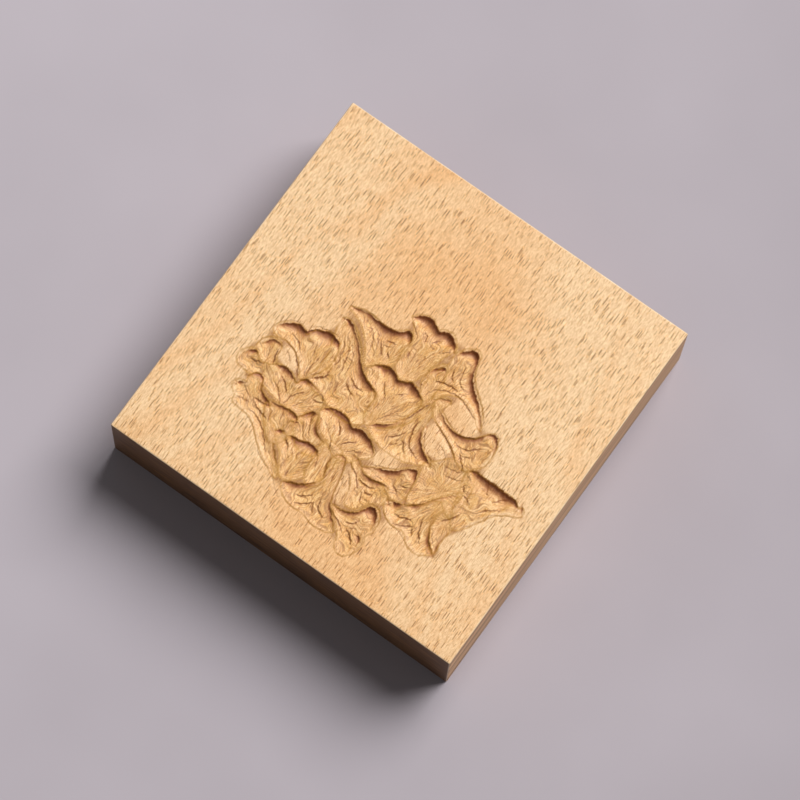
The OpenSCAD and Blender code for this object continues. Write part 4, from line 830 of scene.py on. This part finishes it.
# %% [markdown]
# The wood is beech, flat sawn, planed and sanded, with no varnish. Such a face shows short dark flecks,
# the cut ends of the rays, all along the grain; between them lie fine pale fibres, and slow bands of
# honey and pale wood where the growth rings run out at the surface. It is matte, so colour does most of
# the work. The tree of nodes reads object coordinates, so each pattern has a size in millimetres.

# %% Helpers for the finishes
MIX_A, MIX_B, MIX_OUT = 6, 7, 2
SMOOTH = {"interpolation_type": "SMOOTHSTEP"}
COLOURS = {"data_type": "RGBA"}


def colour(hex_code):
    values = [int(hex_code[i:i + 2], 16) / 255 for i in (1, 3, 5)]
    linear = [v / 12.92 if v <= 0.04045 else ((v + 0.055) / 1.055) ** 2.4 for v in values]
    return (*linear, 1.0)


def add(tree, kind, inputs=None, **settings):
    node = tree.nodes.new("ShaderNode" + kind)
    for name, value in settings.items():
        setattr(node, name, value)
    for socket, value in (inputs or {}).items():
        if isinstance(value, bpy.types.NodeSocket):
            tree.links.new(value, node.inputs[socket])
        else:
            node.inputs[socket].default_value = value
    return node


def new_finish(name):
    material = bpy.data.materials.new(name)
    material.use_nodes = True
    material.node_tree.nodes.clear()
    return material, material.node_tree


# %% [markdown]
# The grain runs from front to back, so the front and back faces are end grain and the other two are long
# sides. A face is told by where it lies and by which way it looks, so the finish starts from both.

# %% Beech: places and directions
SIDE_START, SIDE_FULL = 49.0, 49.4
TURNED_START, TURNED_FULL = 0.5, 0.9
beech, wood = new_finish("beech_flat_sawn_planed_and_sanded")
where = add(wood, "TexCoord")
place = add(wood, "VectorMath", {
    0: where.outputs["Object"], 1: (1 / MM,) * 3,
}, operation="MULTIPLY").outputs[0]
place_x, place_y, _ = add(wood, "SeparateXYZ", {0: place}).outputs
facing = add(wood, "VectorMath", {0: where.outputs["Normal"]}, operation="ABSOLUTE").outputs[0]
face_x, face_y, _ = add(wood, "SeparateXYZ", {0: facing}).outputs
from_centre = add(wood, "VectorMath", {0: place}, operation="ABSOLUTE").outputs[0]
side_x, side_y, _ = add(wood, "SeparateXYZ", {0: from_centre}).outputs
outermost = add(wood, "Math", {0: side_x, 1: side_y}, operation="MAXIMUM").outputs[0]
near_side = add(wood, "MapRange", {0: outermost, 1: SIDE_START, 2: SIDE_FULL}).outputs[0]
turned_x = add(wood, "MapRange", {0: face_x, 1: TURNED_START, 2: TURNED_FULL}, **SMOOTH).outputs[0]
turned_y = add(wood, "MapRange", {0: face_y, 1: TURNED_START, 2: TURNED_FULL}, **SMOOTH).outputs[0]
end_face = add(wood, "Math", {0: turned_y, 1: near_side}, operation="MULTIPLY").outputs[0]
long_face = add(wood, "Math", {0: turned_x, 1: near_side}, operation="MULTIPLY").outputs[0]
print("new finish:", beech.name)

# %% [markdown]
# The growth rings are cylinders round the middle of the tree, far below the block and along its grain.
# The end faces show them as flat arcs: the wood darkens slowly through a year and ends in a sharp line.

# %% Beech: growth rings
TREE_MIDDLE = (14.0, 0.0, -170.0)
RING_WIDTH = 2.6
RING_WOBBLE = 9.0
WOBBLE_SIZE = (30.0, 110.0, 30.0)
wobble = add(wood, "TexNoise", {
    "Vector": add(wood, "VectorMath", {0: place, 1: WOBBLE_SIZE}, operation="DIVIDE").outputs[0],
    "Scale": 1.0, "Detail": 2.0,
}).outputs["Fac"]
from_tree = add(wood, "VectorMath", {0: place, 1: TREE_MIDDLE}, operation="SUBTRACT").outputs[0]
across_tree = add(wood, "VectorMath", {0: from_tree, 1: (1, 0, 1)}, operation="MULTIPLY").outputs[0]
radius = add(wood, "VectorMath", {0: across_tree}, operation="LENGTH").outputs["Value"]
bent_radius = add(wood, "Math", {
    0: wobble, 1: RING_WOBBLE, 2: radius,
}, operation="MULTIPLY_ADD").outputs[0]
ring_count = add(wood, "Math", {0: bent_radius, 1: RING_WIDTH}, operation="DIVIDE").outputs[0]
ring_place = add(wood, "Math", {0: ring_count}, operation="FRACT").outputs[0]
late_wood = add(wood, "MapRange", {0: ring_place, 1: 0.45, 2: 0.92}, **SMOOTH).outputs[0]
ring_end = add(wood, "MapRange", {0: ring_place, 1: 1.0, 2: 0.94}, **SMOOTH).outputs[0]
ring = add(wood, "Math", {0: late_wood, 1: ring_end}, operation="MULTIPLY").outputs[0]
print("rings", RING_WIDTH, "mm wide")

# %% [markdown]
# A tree tapers, so its rings are cones rather than cylinders, and a board sawn flat shows them as tall
# arches. Good years and lean ones differ in tone: a noise along the radius gives each arch its own shade,
# from a pale pinkish beech to a warmer honey one, and a soft noise along the grain breaks the arches up.

# %% Beech: arches
ARCH_MIDDLE = 5.0
ARCH_DEPTH = 90.0
ARCH_LEAN = (0.0, 0.14, 1.0)
ARCH_WOBBLE = 9.0
YEARS_WIDTH = 2.4
PATCH_SIZE = (26.0, 60.0, 26.0)
patches = add(wood, "TexNoise", {
    "Vector": add(wood, "VectorMath", {0: place, 1: PATCH_SIZE}, operation="DIVIDE").outputs[0],
    "Scale": 1.0, "Detail": 2.0, "Roughness": 0.55,
}).outputs["Fac"]
leaning = add(wood, "VectorMath", {0: place, 1: ARCH_LEAN}, operation="DOT_PRODUCT").outputs["Value"]
arch_depth = add(wood, "Math", {0: leaning, 1: ARCH_DEPTH}, operation="ADD").outputs[0]
arch_across = add(wood, "Math", {0: place_x, 1: ARCH_MIDDLE}, operation="SUBTRACT").outputs[0]
from_arch = add(wood, "CombineXYZ", {0: arch_across, 1: arch_depth}).outputs[0]
arch_radius = add(wood, "VectorMath", {0: from_arch}, operation="LENGTH").outputs["Value"]
bent_arch = add(wood, "Math", {
    0: patches, 1: ARCH_WOBBLE, 2: arch_radius,
}, operation="MULTIPLY_ADD").outputs[0]
years = add(wood, "TexNoise", {
    "W": add(wood, "Math", {0: bent_arch, 1: YEARS_WIDTH}, operation="DIVIDE").outputs[0],
    "Scale": 1.0, "Detail": 1.0, "Roughness": 0.6,
}, noise_dimensions="1D").outputs["Fac"]
year = add(wood, "MapRange", {0: years, 1: 0.25, 2: 0.75, 3: 0.0, 4: 0.7}).outputs[0]
patch = add(wood, "MapRange", {0: patches, 1: 0.32, 2: 0.68, 3: -0.25, 4: 0.25}).outputs[0]
bands = add(wood, "Math", {0: year, 1: patch}, operation="ADD").outputs[0]
print("arches", YEARS_WIDTH, "mm wide")

# %% [markdown]
# The arches are laid over two slower changes: the wood is more honey along a leaning band through the
# middle, nearest the heart of the tree, and the top turns a little darker and more honey towards the front.

# %% Beech: pale and honey wood
PALE_BEECH = colour("#FCD29F")
HONEY_BEECH = colour("#F6BF83")
HEART_LEAN = (1.0, 0.2, 0.0)
HEART_FAR, HEART_NEAR = 34.0, 10.0
FRONT_START, FRONT_END = -22.0, -50.0
across_heart = add(wood, "VectorMath", {0: place, 1: HEART_LEAN}, operation="DOT_PRODUCT").outputs["Value"]
from_heart = add(wood, "Math", {0: across_heart}, operation="ABSOLUTE").outputs[0]
towards_heart = add(wood, "MapRange", {
    0: from_heart, 1: HEART_FAR, 2: HEART_NEAR, 3: -0.25, 4: 0.5,
}, **SMOOTH).outputs[0]
darker_to_front = add(wood, "MapRange", {
    0: place_y, 1: FRONT_START, 2: FRONT_END, 3: 0.0, 4: 0.2,
}, **SMOOTH).outputs[0]
slow = add(wood, "Math", {0: towards_heart, 1: darker_to_front}, operation="ADD").outputs[0]
shade = add(wood, "Math", {0: bands, 1: slow}, operation="ADD", use_clamp=True).outputs[0]
broad = add(wood, "Mix", {0: shade, MIX_A: PALE_BEECH, MIX_B: HONEY_BEECH}, **COLOURS).outputs[MIX_OUT]
print("heart band", 2 * HEART_NEAR, "mm wide")

# %% [markdown]
# Between the flecks the planed wood is full of fine fibres, lighter and darker threads. Real ones are
# a few hundredths of a millimetre wide, which is too fine to show in the render, so they are drawn about
# five times as wide. A noise stretched along the grain gives them, and a shorter one breaks them up.

# %% Beech: fibres
FIBRE_SIZE = (0.15, 1.2, 0.15)
GRAIN_SIZE = (0.15, 0.3, 0.15)
GRAIN_SHARE = 0.6
FIBRE_DARK = (0.76, 0.67, 0.56, 1.0)
FIBRE_PALE = (1.16, 1.26, 1.38, 1.0)
fibres = add(wood, "TexNoise", {
    "Vector": add(wood, "VectorMath", {0: place, 1: FIBRE_SIZE}, operation="DIVIDE").outputs[0],
    "Scale": 1.0, "Detail": 1.0, "Roughness": 0.5,
}).outputs["Fac"]
fine_grain = add(wood, "TexNoise", {
    "Vector": add(wood, "VectorMath", {0: place, 1: GRAIN_SIZE}, operation="DIVIDE").outputs[0],
    "Scale": 1.0, "Detail": 0.0,
}).outputs["Fac"]
broken = add(wood, "Math", {0: fine_grain, 1: GRAIN_SHARE, 2: fibres}, operation="MULTIPLY_ADD").outputs[0]
thread = add(wood, "MapRange", {0: broken, 1: 0.52, 2: 1.08}).outputs[0]
fibre_tint = add(wood, "Mix", {0: thread, MIX_A: FIBRE_DARK, MIX_B: FIBRE_PALE}, **COLOURS).outputs[MIX_OUT]
dark_thread = add(wood, "MapRange", {0: thread, 1: 0.5, 2: 0.0, 3: 0.0, 4: 0.6}).outputs[0]
print("fibres drawn", FIBRE_SIZE[0], "mm wide")

# %% [markdown]
# A fleck is a thin dash along the grain. Voronoi cells, squeezed across the grain and stretched along it,
# hold one each. Their distance is measured the Chebychev way, which makes a dash with straight sides, and
# the cell's random colour makes some long and dark and others hardly there. Three layers, of long,
# middling and short flecks, keep any rhythm from showing. Each dash has a faint warm halo.

# %% Beech: ray flecks
FLECK_LAYERS = [
    {"across": 0.95, "along": 12.0, "shift": (0.0, 0.0, 0.0), "reach": (0.08, 0.11)},
    {"across": 0.9, "along": 9.0, "shift": (3.7, 8.1, 0.0), "reach": (0.08, 0.11)},
    {"across": 0.9, "along": 7.0, "shift": (1.3, 5.2, 0.0), "reach": (0.07, 0.1)},
]
FLAT = 1e6
SCATTER = 0.75
FLECK_CORE = 0.85
HALO_REACH = 2.1
FAINTEST, DARKEST = 0.3, 0.9


def fleck_layer(across, along, shift, reach):
    moved = add(wood, "VectorMath", {0: place, 1: shift}, operation="ADD").outputs[0]
    squeezed = add(wood, "VectorMath", {0: moved, 1: (across, along, FLAT)}, operation="DIVIDE").outputs[0]
    cells = add(wood, "TexVoronoi", {
        "Vector": squeezed, "Scale": 1.0, "Randomness": SCATTER,
    }, voronoi_dimensions="2D", distance="CHEBYCHEV").outputs
    chance = add(wood, "SeparateColor", {0: cells["Color"]}).outputs
    longest = add(wood, "MapRange", {0: chance[0], 3: reach[0], 4: reach[1]}).outputs[0]
    core = add(wood, "Math", {0: longest, 1: FLECK_CORE}, operation="MULTIPLY").outputs[0]
    dash = add(wood, "MapRange", {0: cells["Distance"], 1: longest, 2: core}, **SMOOTH).outputs[0]
    around_it = add(wood, "Math", {0: longest, 1: HALO_REACH}, operation="MULTIPLY").outputs[0]
    halo = add(wood, "MapRange", {0: cells["Distance"], 1: around_it, 2: longest}, **SMOOTH).outputs[0]
    darkness = add(wood, "MapRange", {0: chance[1], 3: FAINTEST, 4: DARKEST}).outputs[0]
    return [
        add(wood, "Math", {0: part, 1: darkness}, operation="MULTIPLY").outputs[0] for part in (dash, halo)
    ]


flecks, halos = 0.0, 0.0
for layer in FLECK_LAYERS:
    dash, halo = fleck_layer(**layer)
    flecks = add(wood, "Math", {0: dash, 1: flecks}, operation="MAXIMUM").outputs[0]
    halos = add(wood, "Math", {0: halo, 1: halos}, operation="MAXIMUM").outputs[0]
print(len(FLECK_LAYERS), "layers of flecks")

# %% [markdown]
# Then comes what the gouge did. Carved wood is more golden, because the tool bruises it and the hollow
# keeps the light, and it is mottled yellow and pink where the fibres are cut at another slant. Its torn
# fibres give it a grain like coarse sand.

# %% Beech: wood under the gouge
CARVED_PALE = colour("#FFCF86")
CARVED_DARK = colour("#E49F50")
CARVED_YELLOW = colour("#EFB056")
CARVED_PINK = colour("#F6BC84")
SAND_SIZE = (0.3, 0.5, 0.3)
MOTTLE_SIZE = (2.2, 3.4, 2.2)
MOTTLE_SHARE = 0.4
sand = add(wood, "TexNoise", {
    "Vector": add(wood, "VectorMath", {0: place, 1: SAND_SIZE}, operation="DIVIDE").outputs[0],
    "Scale": 1.0, "Detail": 1.0, "Roughness": 0.6,
}).outputs["Fac"]
sandy = add(wood, "MapRange", {0: sand, 1: 0.3, 2: 0.7}).outputs[0]
mottling = add(wood, "TexNoise", {
    "Vector": add(wood, "VectorMath", {0: place, 1: MOTTLE_SIZE}, operation="DIVIDE").outputs[0],
    "Scale": 1.0, "Detail": 2.0,
}).outputs["Fac"]
slant = add(wood, "MapRange", {0: mottling, 1: 0.35, 2: 0.65}, **SMOOTH).outputs[0]
mottled = add(wood, "Mix", {0: slant, MIX_A: CARVED_YELLOW, MIX_B: CARVED_PINK}, **COLOURS).outputs[MIX_OUT]
grainy = add(wood, "Mix", {0: sandy, MIX_A: CARVED_DARK, MIX_B: CARVED_PALE}, **COLOURS).outputs[MIX_OUT]
unstreaked = add(wood, "Mix", {0: MOTTLE_SHARE, MIX_A: grainy, MIX_B: mottled}, **COLOURS).outputs[MIX_OUT]
print("sand", SAND_SIZE[0], "mm and mottling", MOTTLE_SIZE[0], "mm wide")

# %% [markdown]
# Streaks and thin brown lines follow the gouge out from the stalk. They are a noise too, but laid out along
# the flutes instead of along the grain, by the numbers that the points of the carving have kept.

# %% Beech: streaks of the gouge
STREAK_BROWN = colour("#B8772F")
STREAK_PALE = colour("#FFD498")
FLOW_BROWN = colour("#92561E")
STREAK_WIDTH, STREAK_LENGTH = 0.5, 6.0
tooled_in, rim_gap_in, wall_dust_and_shade_in, line_dust_and_shade_in, across_in, along_in = (
    add(wood, "Attribute", attribute_name=name).outputs["Fac"]
    for name in ("tooled", "rim_gap", "wall_dust_and_shade", "line_dust_and_shade", "flow_across", "flow_along")
)
streak_place = add(wood, "CombineXYZ", {
    0: add(wood, "Math", {0: across_in, 1: STREAK_WIDTH}, operation="DIVIDE").outputs[0],
    1: add(wood, "Math", {0: along_in, 1: STREAK_LENGTH}, operation="DIVIDE").outputs[0],
}).outputs[0]
streaks = add(wood, "TexNoise", {
    "Vector": streak_place, "Scale": 1.0, "Detail": 1.0, "Roughness": 0.5,
}).outputs["Fac"]
streak_dark = add(wood, "MapRange", {0: streaks, 1: 0.45, 2: 0.25, 3: 0.0, 4: 0.5}).outputs[0]
streak_light = add(wood, "MapRange", {0: streaks, 1: 0.5, 2: 0.7, 3: 0.0, 4: 0.6}).outputs[0]
centred = add(wood, "Math", {0: streaks, 1: 0.5}, operation="SUBTRACT").outputs[0]
from_line = add(wood, "Math", {0: centred}, operation="ABSOLUTE").outputs[0]
flow_line = add(wood, "MapRange", {0: from_line, 1: 0.05, 2: 0.012, 3: 0.0, 4: 0.65}).outputs[0]
browned = add(wood, "Mix", {
    0: streak_dark, MIX_A: unstreaked, MIX_B: STREAK_BROWN,
}, **COLOURS).outputs[MIX_OUT]
paled = add(wood, "Mix", {0: streak_light, MIX_A: browned, MIX_B: STREAK_PALE}, **COLOURS).outputs[MIX_OUT]
carved_colour = add(wood, "Mix", {0: flow_line, MIX_A: paled, MIX_B: FLOW_BROWN}, **COLOURS).outputs[MIX_OUT]
print("streaks", STREAK_WIDTH, "mm wide and", STREAK_LENGTH, "mm long")

# %% [markdown]
# Colour is layered like the wood itself: the broad tone and the carving, then halos, fibres and flecks.
# In the carving the flecks are fainter, since the gouge has cut across them.

# %% Beech: the layers together
FLECK_BROWN = colour("#743A0C")
HALO_TINT = (1.0, 0.88, 0.66, 1.0)
CARVED_SHARE = 0.88
FLECK_ON_FLAT, FLECK_IN_CARVING = 0.95, 0.45
carved = add(wood, "Math", {0: tooled_in, 1: 1.0}, operation="MINIMUM").outputs[0]
cut_share = add(wood, "Math", {0: carved, 1: CARVED_SHARE}, operation="MULTIPLY").outputs[0]
hollow = add(wood, "Mix", {0: cut_share, MIX_A: broad, MIX_B: carved_colour}, **COLOURS).outputs[MIX_OUT]
warmed = add(wood, "Mix", {
    0: halos, MIX_A: hollow, MIX_B: HALO_TINT,
}, blend_type="MULTIPLY", **COLOURS).outputs[MIX_OUT]
threaded = add(wood, "VectorMath", {0: warmed, 1: fibre_tint}, operation="MULTIPLY").outputs[0]
fleck_share = add(wood, "MapRange", {0: carved, 3: FLECK_ON_FLAT, 4: FLECK_IN_CARVING}).outputs[0]
fleck = add(wood, "Math", {0: flecks, 1: fleck_share}, operation="MULTIPLY").outputs[0]
flecked = add(wood, "Mix", {0: fleck, MIX_A: threaded, MIX_B: FLECK_BROWN}, **COLOURS).outputs[MIX_OUT]
print("flecks", FLECK_ON_FLAT, "strong on the flat and", FLECK_IN_CARVING, "in the carving")

# %% [markdown]
# The lines where a cut starts hold brown dust, with painted shade laid over it. Right under a rim it is
# darkest and reddest, where the wall's shadow falls, and a lighter brown of painted shade covers the floor
# beyond; in the veins and scores it is a thinner brown line of dust and painted shade. A darker yellow
# thread runs along every leaf outline. All of them are torn along the grain, so a fine noise stretched
# that way decides how far each reaches at each place.

# %% Beech: dust and painted shade in the cuts
# Painted shade: the red and the lighter brown paint the shade of the rim walls over their dust, and the dark
# brown paints dust and shade in the vein and score grooves.
DUST_AND_SHADE_RED = colour("#94502C")
STAIN_AND_SHADE_BROWN = colour("#CC8A52")
DUST_AND_SHADE_BROWN = colour("#86481A")
YELLOW_THREAD = colour("#BE842C")
TEAR_SIZE = (0.32, 0.8, 0.32)
LINE_SHARE, STAIN_AND_SHADE_SHARE, DEEP_SHARE, THREAD_SHARE = 0.85, 0.85, 0.8, 0.6
RIM_TEAR = 0.4
tear = add(wood, "TexNoise", {
    "Vector": add(wood, "VectorMath", {0: place, 1: TEAR_SIZE}, operation="DIVIDE").outputs[0],
    "Scale": 1.0, "Detail": 1.0,
}).outputs["Fac"]
torn = add(wood, "MapRange", {0: tear, 1: 0.3, 2: 0.7, 3: -0.25, 4: 0.25}).outputs[0]
# The deepest painted shade, right under the rim walls where their shadow is darkest.
deep_dust_and_shade = add(wood, "MapRange", {0: wall_dust_and_shade_in, 1: 0.5, 2: 1.0}, **SMOOTH).outputs[0]
dusted_and_shaded = flecked
for amount, full, dust_and_shade_colour in [
    (line_dust_and_shade_in, LINE_SHARE, DUST_AND_SHADE_BROWN),
    (wall_dust_and_shade_in, STAIN_AND_SHADE_SHARE, STAIN_AND_SHADE_BROWN),
    (deep_dust_and_shade, DEEP_SHARE, DUST_AND_SHADE_RED),
]:
    ragged = add(wood, "Math", {0: torn, 1: amount, 2: amount}, operation="MULTIPLY_ADD").outputs[0]
    share = add(wood, "MapRange", {0: ragged, 1: 0.05, 2: 0.95, 3: 0.0, 4: full}).outputs[0]
    dusted_and_shaded = add(wood, "Mix", {0: share, MIX_A: dusted_and_shaded, MIX_B: dust_and_shade_colour}, **COLOURS).outputs[MIX_OUT]
rim_edge = add(wood, "Math", {0: torn, 1: RIM_TEAR, 2: rim_gap_in}, operation="MULTIPLY_ADD").outputs[0]
rim = add(wood, "MapRange", {0: rim_edge, 1: 0.34, 2: 0.1, 3: 0.0, 4: THREAD_SHARE}, **SMOOTH).outputs[0]
carved_top = add(wood, "Mix", {0: rim, MIX_A: dusted_and_shaded, MIX_B: YELLOW_THREAD}, **COLOURS).outputs[MIX_OUT]
print("dust torn at", TEAR_SIZE[0], "mm")

# %% [markdown]
# The end faces are cut across the fibres. Open pores drink the light, so end grain is darker and browner.
# Fine lines of pores run along the rings there, and the long sides show the same layers as pale and brown
# stripes. Both are drawn coarser than real ones, because the sides are seen so flat that they would vanish.

# %% Beech: end grain and long sides
END_GRAIN = colour("#966838")
END_RING = colour("#4E2E14")
END_LINE_SIZE = (10.0, 10.0, 0.6)
RING_SHARE = 0.35
SIDE_WOOD = colour("#E8B885")
SIDE_STRIPE = colour("#9A6C42")
SIDE_LINE_SIZE = (30.0, 70.0, 2.2)
FIBRE_SHARE = 0.3
pores = add(wood, "TexNoise", {
    "Vector": add(wood, "VectorMath", {0: place, 1: END_LINE_SIZE}, operation="DIVIDE").outputs[0],
    "Scale": 1.0, "Detail": 2.0, "Roughness": 0.6,
}).outputs["Fac"]
pore = add(wood, "MapRange", {0: pores, 1: 0.36, 2: 0.64}).outputs[0]
end_mark = add(wood, "Math", {
    0: ring, 1: RING_SHARE, 2: pore,
}, operation="MULTIPLY_ADD", use_clamp=True).outputs[0]
end_colour = add(wood, "Mix", {0: end_mark, MIX_A: END_GRAIN, MIX_B: END_RING}, **COLOURS).outputs[MIX_OUT]
side_lines = add(wood, "TexNoise", {
    "Vector": add(wood, "VectorMath", {0: place, 1: SIDE_LINE_SIZE}, operation="DIVIDE").outputs[0],
    "Scale": 1.0, "Detail": 2.0, "Roughness": 0.6,
}).outputs["Fac"]
side_line = add(wood, "MapRange", {0: side_lines, 1: 0.38, 2: 0.66}).outputs[0]
side_mark = add(wood, "Math", {
    0: dark_thread, 1: FIBRE_SHARE, 2: side_line,
}, operation="MULTIPLY_ADD", use_clamp=True).outputs[0]
side_colour = add(wood, "Mix", {
    0: side_mark, MIX_A: SIDE_WOOD, MIX_B: SIDE_STRIPE,
}, **COLOURS).outputs[MIX_OUT]
sided = add(wood, "Mix", {0: long_face, MIX_A: carved_top, MIX_B: side_colour}, **COLOURS).outputs[MIX_OUT]
ended = add(wood, "Mix", {0: end_face, MIX_A: sided, MIX_B: end_colour}, **COLOURS).outputs[MIX_OUT]
print("end lines", END_LINE_SIZE[2], "mm and side stripes", SIDE_LINE_SIZE[2], "mm high")

# %% [markdown]
# Hands and cloths rub the edges first. Along the broken edges the wood is paler, a thin line that comes
# and goes. The edge is found by its slope: there, the face looks neither up nor straight out.

# %% Beech: worn edges
WORN_PALE = colour("#F7DDB8")
RUBS_PER_MM = 0.12
sideways = add(wood, "Math", {0: face_x, 1: face_y}, operation="MAXIMUM").outputs[0]
off_the_top = add(wood, "MapRange", {0: sideways, 1: 0.15, 2: 0.45}, **SMOOTH).outputs[0]
off_the_side = add(wood, "MapRange", {0: sideways, 1: 0.97, 2: 0.85}, **SMOOTH).outputs[0]
on_edge = add(wood, "Math", {0: off_the_top, 1: off_the_side}, operation="MULTIPLY").outputs[0]
block_edge = add(wood, "Math", {0: on_edge, 1: near_side}, operation="MULTIPLY").outputs[0]
rubbing = add(wood, "TexNoise", {"Vector": place, "Scale": RUBS_PER_MM, "Detail": 3.0}).outputs["Fac"]
rubbed = add(wood, "MapRange", {0: rubbing, 1: 0.35, 2: 0.65, 3: 0.25, 4: 0.8}).outputs[0]
wear = add(wood, "Math", {0: block_edge, 1: rubbed}, operation="MULTIPLY").outputs[0]
wood_colour = add(wood, "Mix", {0: wear, MIX_A: ended, MIX_B: WORN_PALE}, **COLOURS).outputs[MIX_OUT]
print("edges rubbed in patches of", round(1 / RUBS_PER_MM, 1), "mm")

# %% [markdown]
# The surface itself is sanded wood: rough, with hardly any shine. Flecks lie a hair below the surface and
# fibres a hair above it, which the bump draws at a height of thousandths of a millimetre. In the carving
# the torn fibres stand a few times higher.

# %% Beech: roughness, bump and the finished material
FIBRE_RELIEF = 0.006 * MM
TORN_RELIEF, FLECK_RELIEF = 8.0, -0.6
ROUGH_DARK, ROUGH_PALE = 0.62, 0.5
WOOD_IOR = 1.5
torn_relief = add(wood, "Math", {0: streaks, 1: carved}, operation="MULTIPLY").outputs[0]
fibre_relief = add(wood, "Math", {
    0: torn_relief, 1: TORN_RELIEF, 2: thread,
}, operation="MULTIPLY_ADD").outputs[0]
relief = add(wood, "Math", {
    0: fleck, 1: FLECK_RELIEF, 2: fibre_relief,
}, operation="MULTIPLY_ADD").outputs[0]
bump = add(wood, "Bump", {"Strength": 1.0, "Distance": FIBRE_RELIEF, "Height": relief}).outputs[0]
rough = add(wood, "MapRange", {0: thread, 3: ROUGH_DARK, 4: ROUGH_PALE}).outputs[0]
skin = add(wood, "BsdfPrincipled", {
    "Base Color": wood_colour, "Roughness": rough, "IOR": WOOD_IOR, "Normal": bump,
})
add(wood, "OutputMaterial", {"Surface": skin.outputs[0]})
block.data.materials.clear()
block.data.materials.append(beech)
print("beech finish:", len(wood.nodes), "nodes")

# %% [markdown]
# The block lies on a plain, pale grey table, which takes its shadow and throws some light back on its
# sides. A faint mottling keeps the table from looking like a screen, and a painted light makes it a
# little lighter on the left. It is stage, not part of the object.

# %% Table
TABLE_SIDE = 8.0
GREY_LIGHT = colour("#C3BAC1")
GREY_DARK = colour("#B1A8AE")
PAINTED_LIGHT_WITHIN, PAINTED_LIGHT_BY = 0.14, 0.35
bpy.ops.object.select_all(action="DESELECT")
bpy.ops.mesh.primitive_plane_add(size=TABLE_SIDE, location=(0, 0, low.z))
table = bpy.context.object
table.name = "table"
bpy.ops.object.transform_apply(location=True, rotation=True, scale=True)
matte_grey, sheet = new_finish("paper_matte_grey")
sheet_place = add(sheet, "TexCoord").outputs["Object"]
mottle = add(sheet, "TexNoise", {"Vector": sheet_place, "Scale": 14.0, "Detail": 3.0}).outputs["Fac"]
# Painted light: the table's colour grows lighter towards the left.
painted_light_across = add(sheet, "MapRange", {
    0: add(sheet, "SeparateXYZ", {0: sheet_place}).outputs[0],
    1: PAINTED_LIGHT_WITHIN, 2: -PAINTED_LIGHT_WITHIN, 3: -PAINTED_LIGHT_BY, 4: PAINTED_LIGHT_BY,
}).outputs[0]
mottle_and_painted_light = add(sheet, "Math", {0: mottle, 1: painted_light_across}, operation="ADD", use_clamp=True).outputs[0]
grey = add(sheet, "Mix", {0: mottle_and_painted_light, MIX_A: GREY_DARK, MIX_B: GREY_LIGHT}, **COLOURS).outputs[MIX_OUT]
paper = add(sheet, "BsdfPrincipled", {"Base Color": grey, "Roughness": 0.85})
add(sheet, "OutputMaterial", {"Surface": paper.outputs[0]})
table.data.materials.append(matte_grey)
print("table at", round(low.z / MM, 2), "mm")

# %% [markdown]
# One large soft lamp stands behind the block and above it, as a window would, and a weak even light from
# all round fills the shadows. The lamp's power is worked out so that a white card on the block's top
# would come out just white: then every colour renders about as it is written.

# %% Light
LAMP_DIRECTION = Vector((0.171, 0.625, 0.762)).normalized()
LAMP_DISTANCE = 9.0
LAMP_HALF_ANGLE = math.radians(20)
WHITE_CARD = 1.08
FILL = 0.12
lamp_data = bpy.data.lights.new("window_lamp", "AREA")
lamp_data.shape = "DISK"
lamp_data.size = 2 * LAMP_DISTANCE * math.tan(LAMP_HALF_ANGLE)
lamp_data.energy = (WHITE_CARD - FILL) * math.pi ** 2 * LAMP_DISTANCE ** 2 / LAMP_DIRECTION.z
lamp = bpy.data.objects.new("window_lamp", lamp_data)
lamp.location = LAMP_DIRECTION * LAMP_DISTANCE
lamp.rotation_euler = LAMP_DIRECTION.to_track_quat("Z", "Y").to_euler()
bpy.context.scene.collection.objects.link(lamp)
world = bpy.data.worlds.new("soft_room")
world.use_nodes = True
world.node_tree.nodes.clear()
room = add(world.node_tree, "Background", {"Color": (1, 1, 1, 1), "Strength": FILL})
add(world.node_tree, "OutputWorld", {"Surface": room.outputs[0]})
bpy.context.scene.world = world
print("lamp", round(lamp_data.energy), "W,", round(lamp_data.size, 2), "m wide")

# %% [markdown]
# The camera looks down steeply, a little turned, from about a metre away through a long lens, so the
# square top stays nearly square. Its place and its three directions are set directly.

# %% Camera
CAMERA_PLACE = Vector((0.12711, -0.21686, 1.05967))
CAMERA_RIGHT = Vector((0.81376, 0.58079, 0.02164))
CAMERA_UP = Vector((-0.56934, 0.78913, 0.23047))
LENS_MM, SENSOR_MM = 198.7, 36
camera_data = bpy.data.cameras.new("camera")
camera_data.lens = LENS_MM
camera_data.sensor_width = SENSOR_MM
camera = bpy.data.objects.new("camera", camera_data)
right = CAMERA_RIGHT.normalized()
back = right.cross(CAMERA_UP).normalized()
turn = Matrix((right, back.cross(right), back)).transposed()
camera.matrix_world = Matrix.Translation(CAMERA_PLACE) @ turn.to_4x4()
bpy.context.scene.collection.objects.link(camera)
bpy.context.scene.camera = camera
bpy.context.scene.view_settings.view_transform = "Standard"
print("camera", round(CAMERA_PLACE.length, 3), "m from the block")

# %% [markdown]
# Last, the scene is brought up to date. The visual model fills the same box as the frame's solid, since
# the block was sawn at the solid's size.

# %% Bring the scene up to date
bpy.context.view_layer.update()
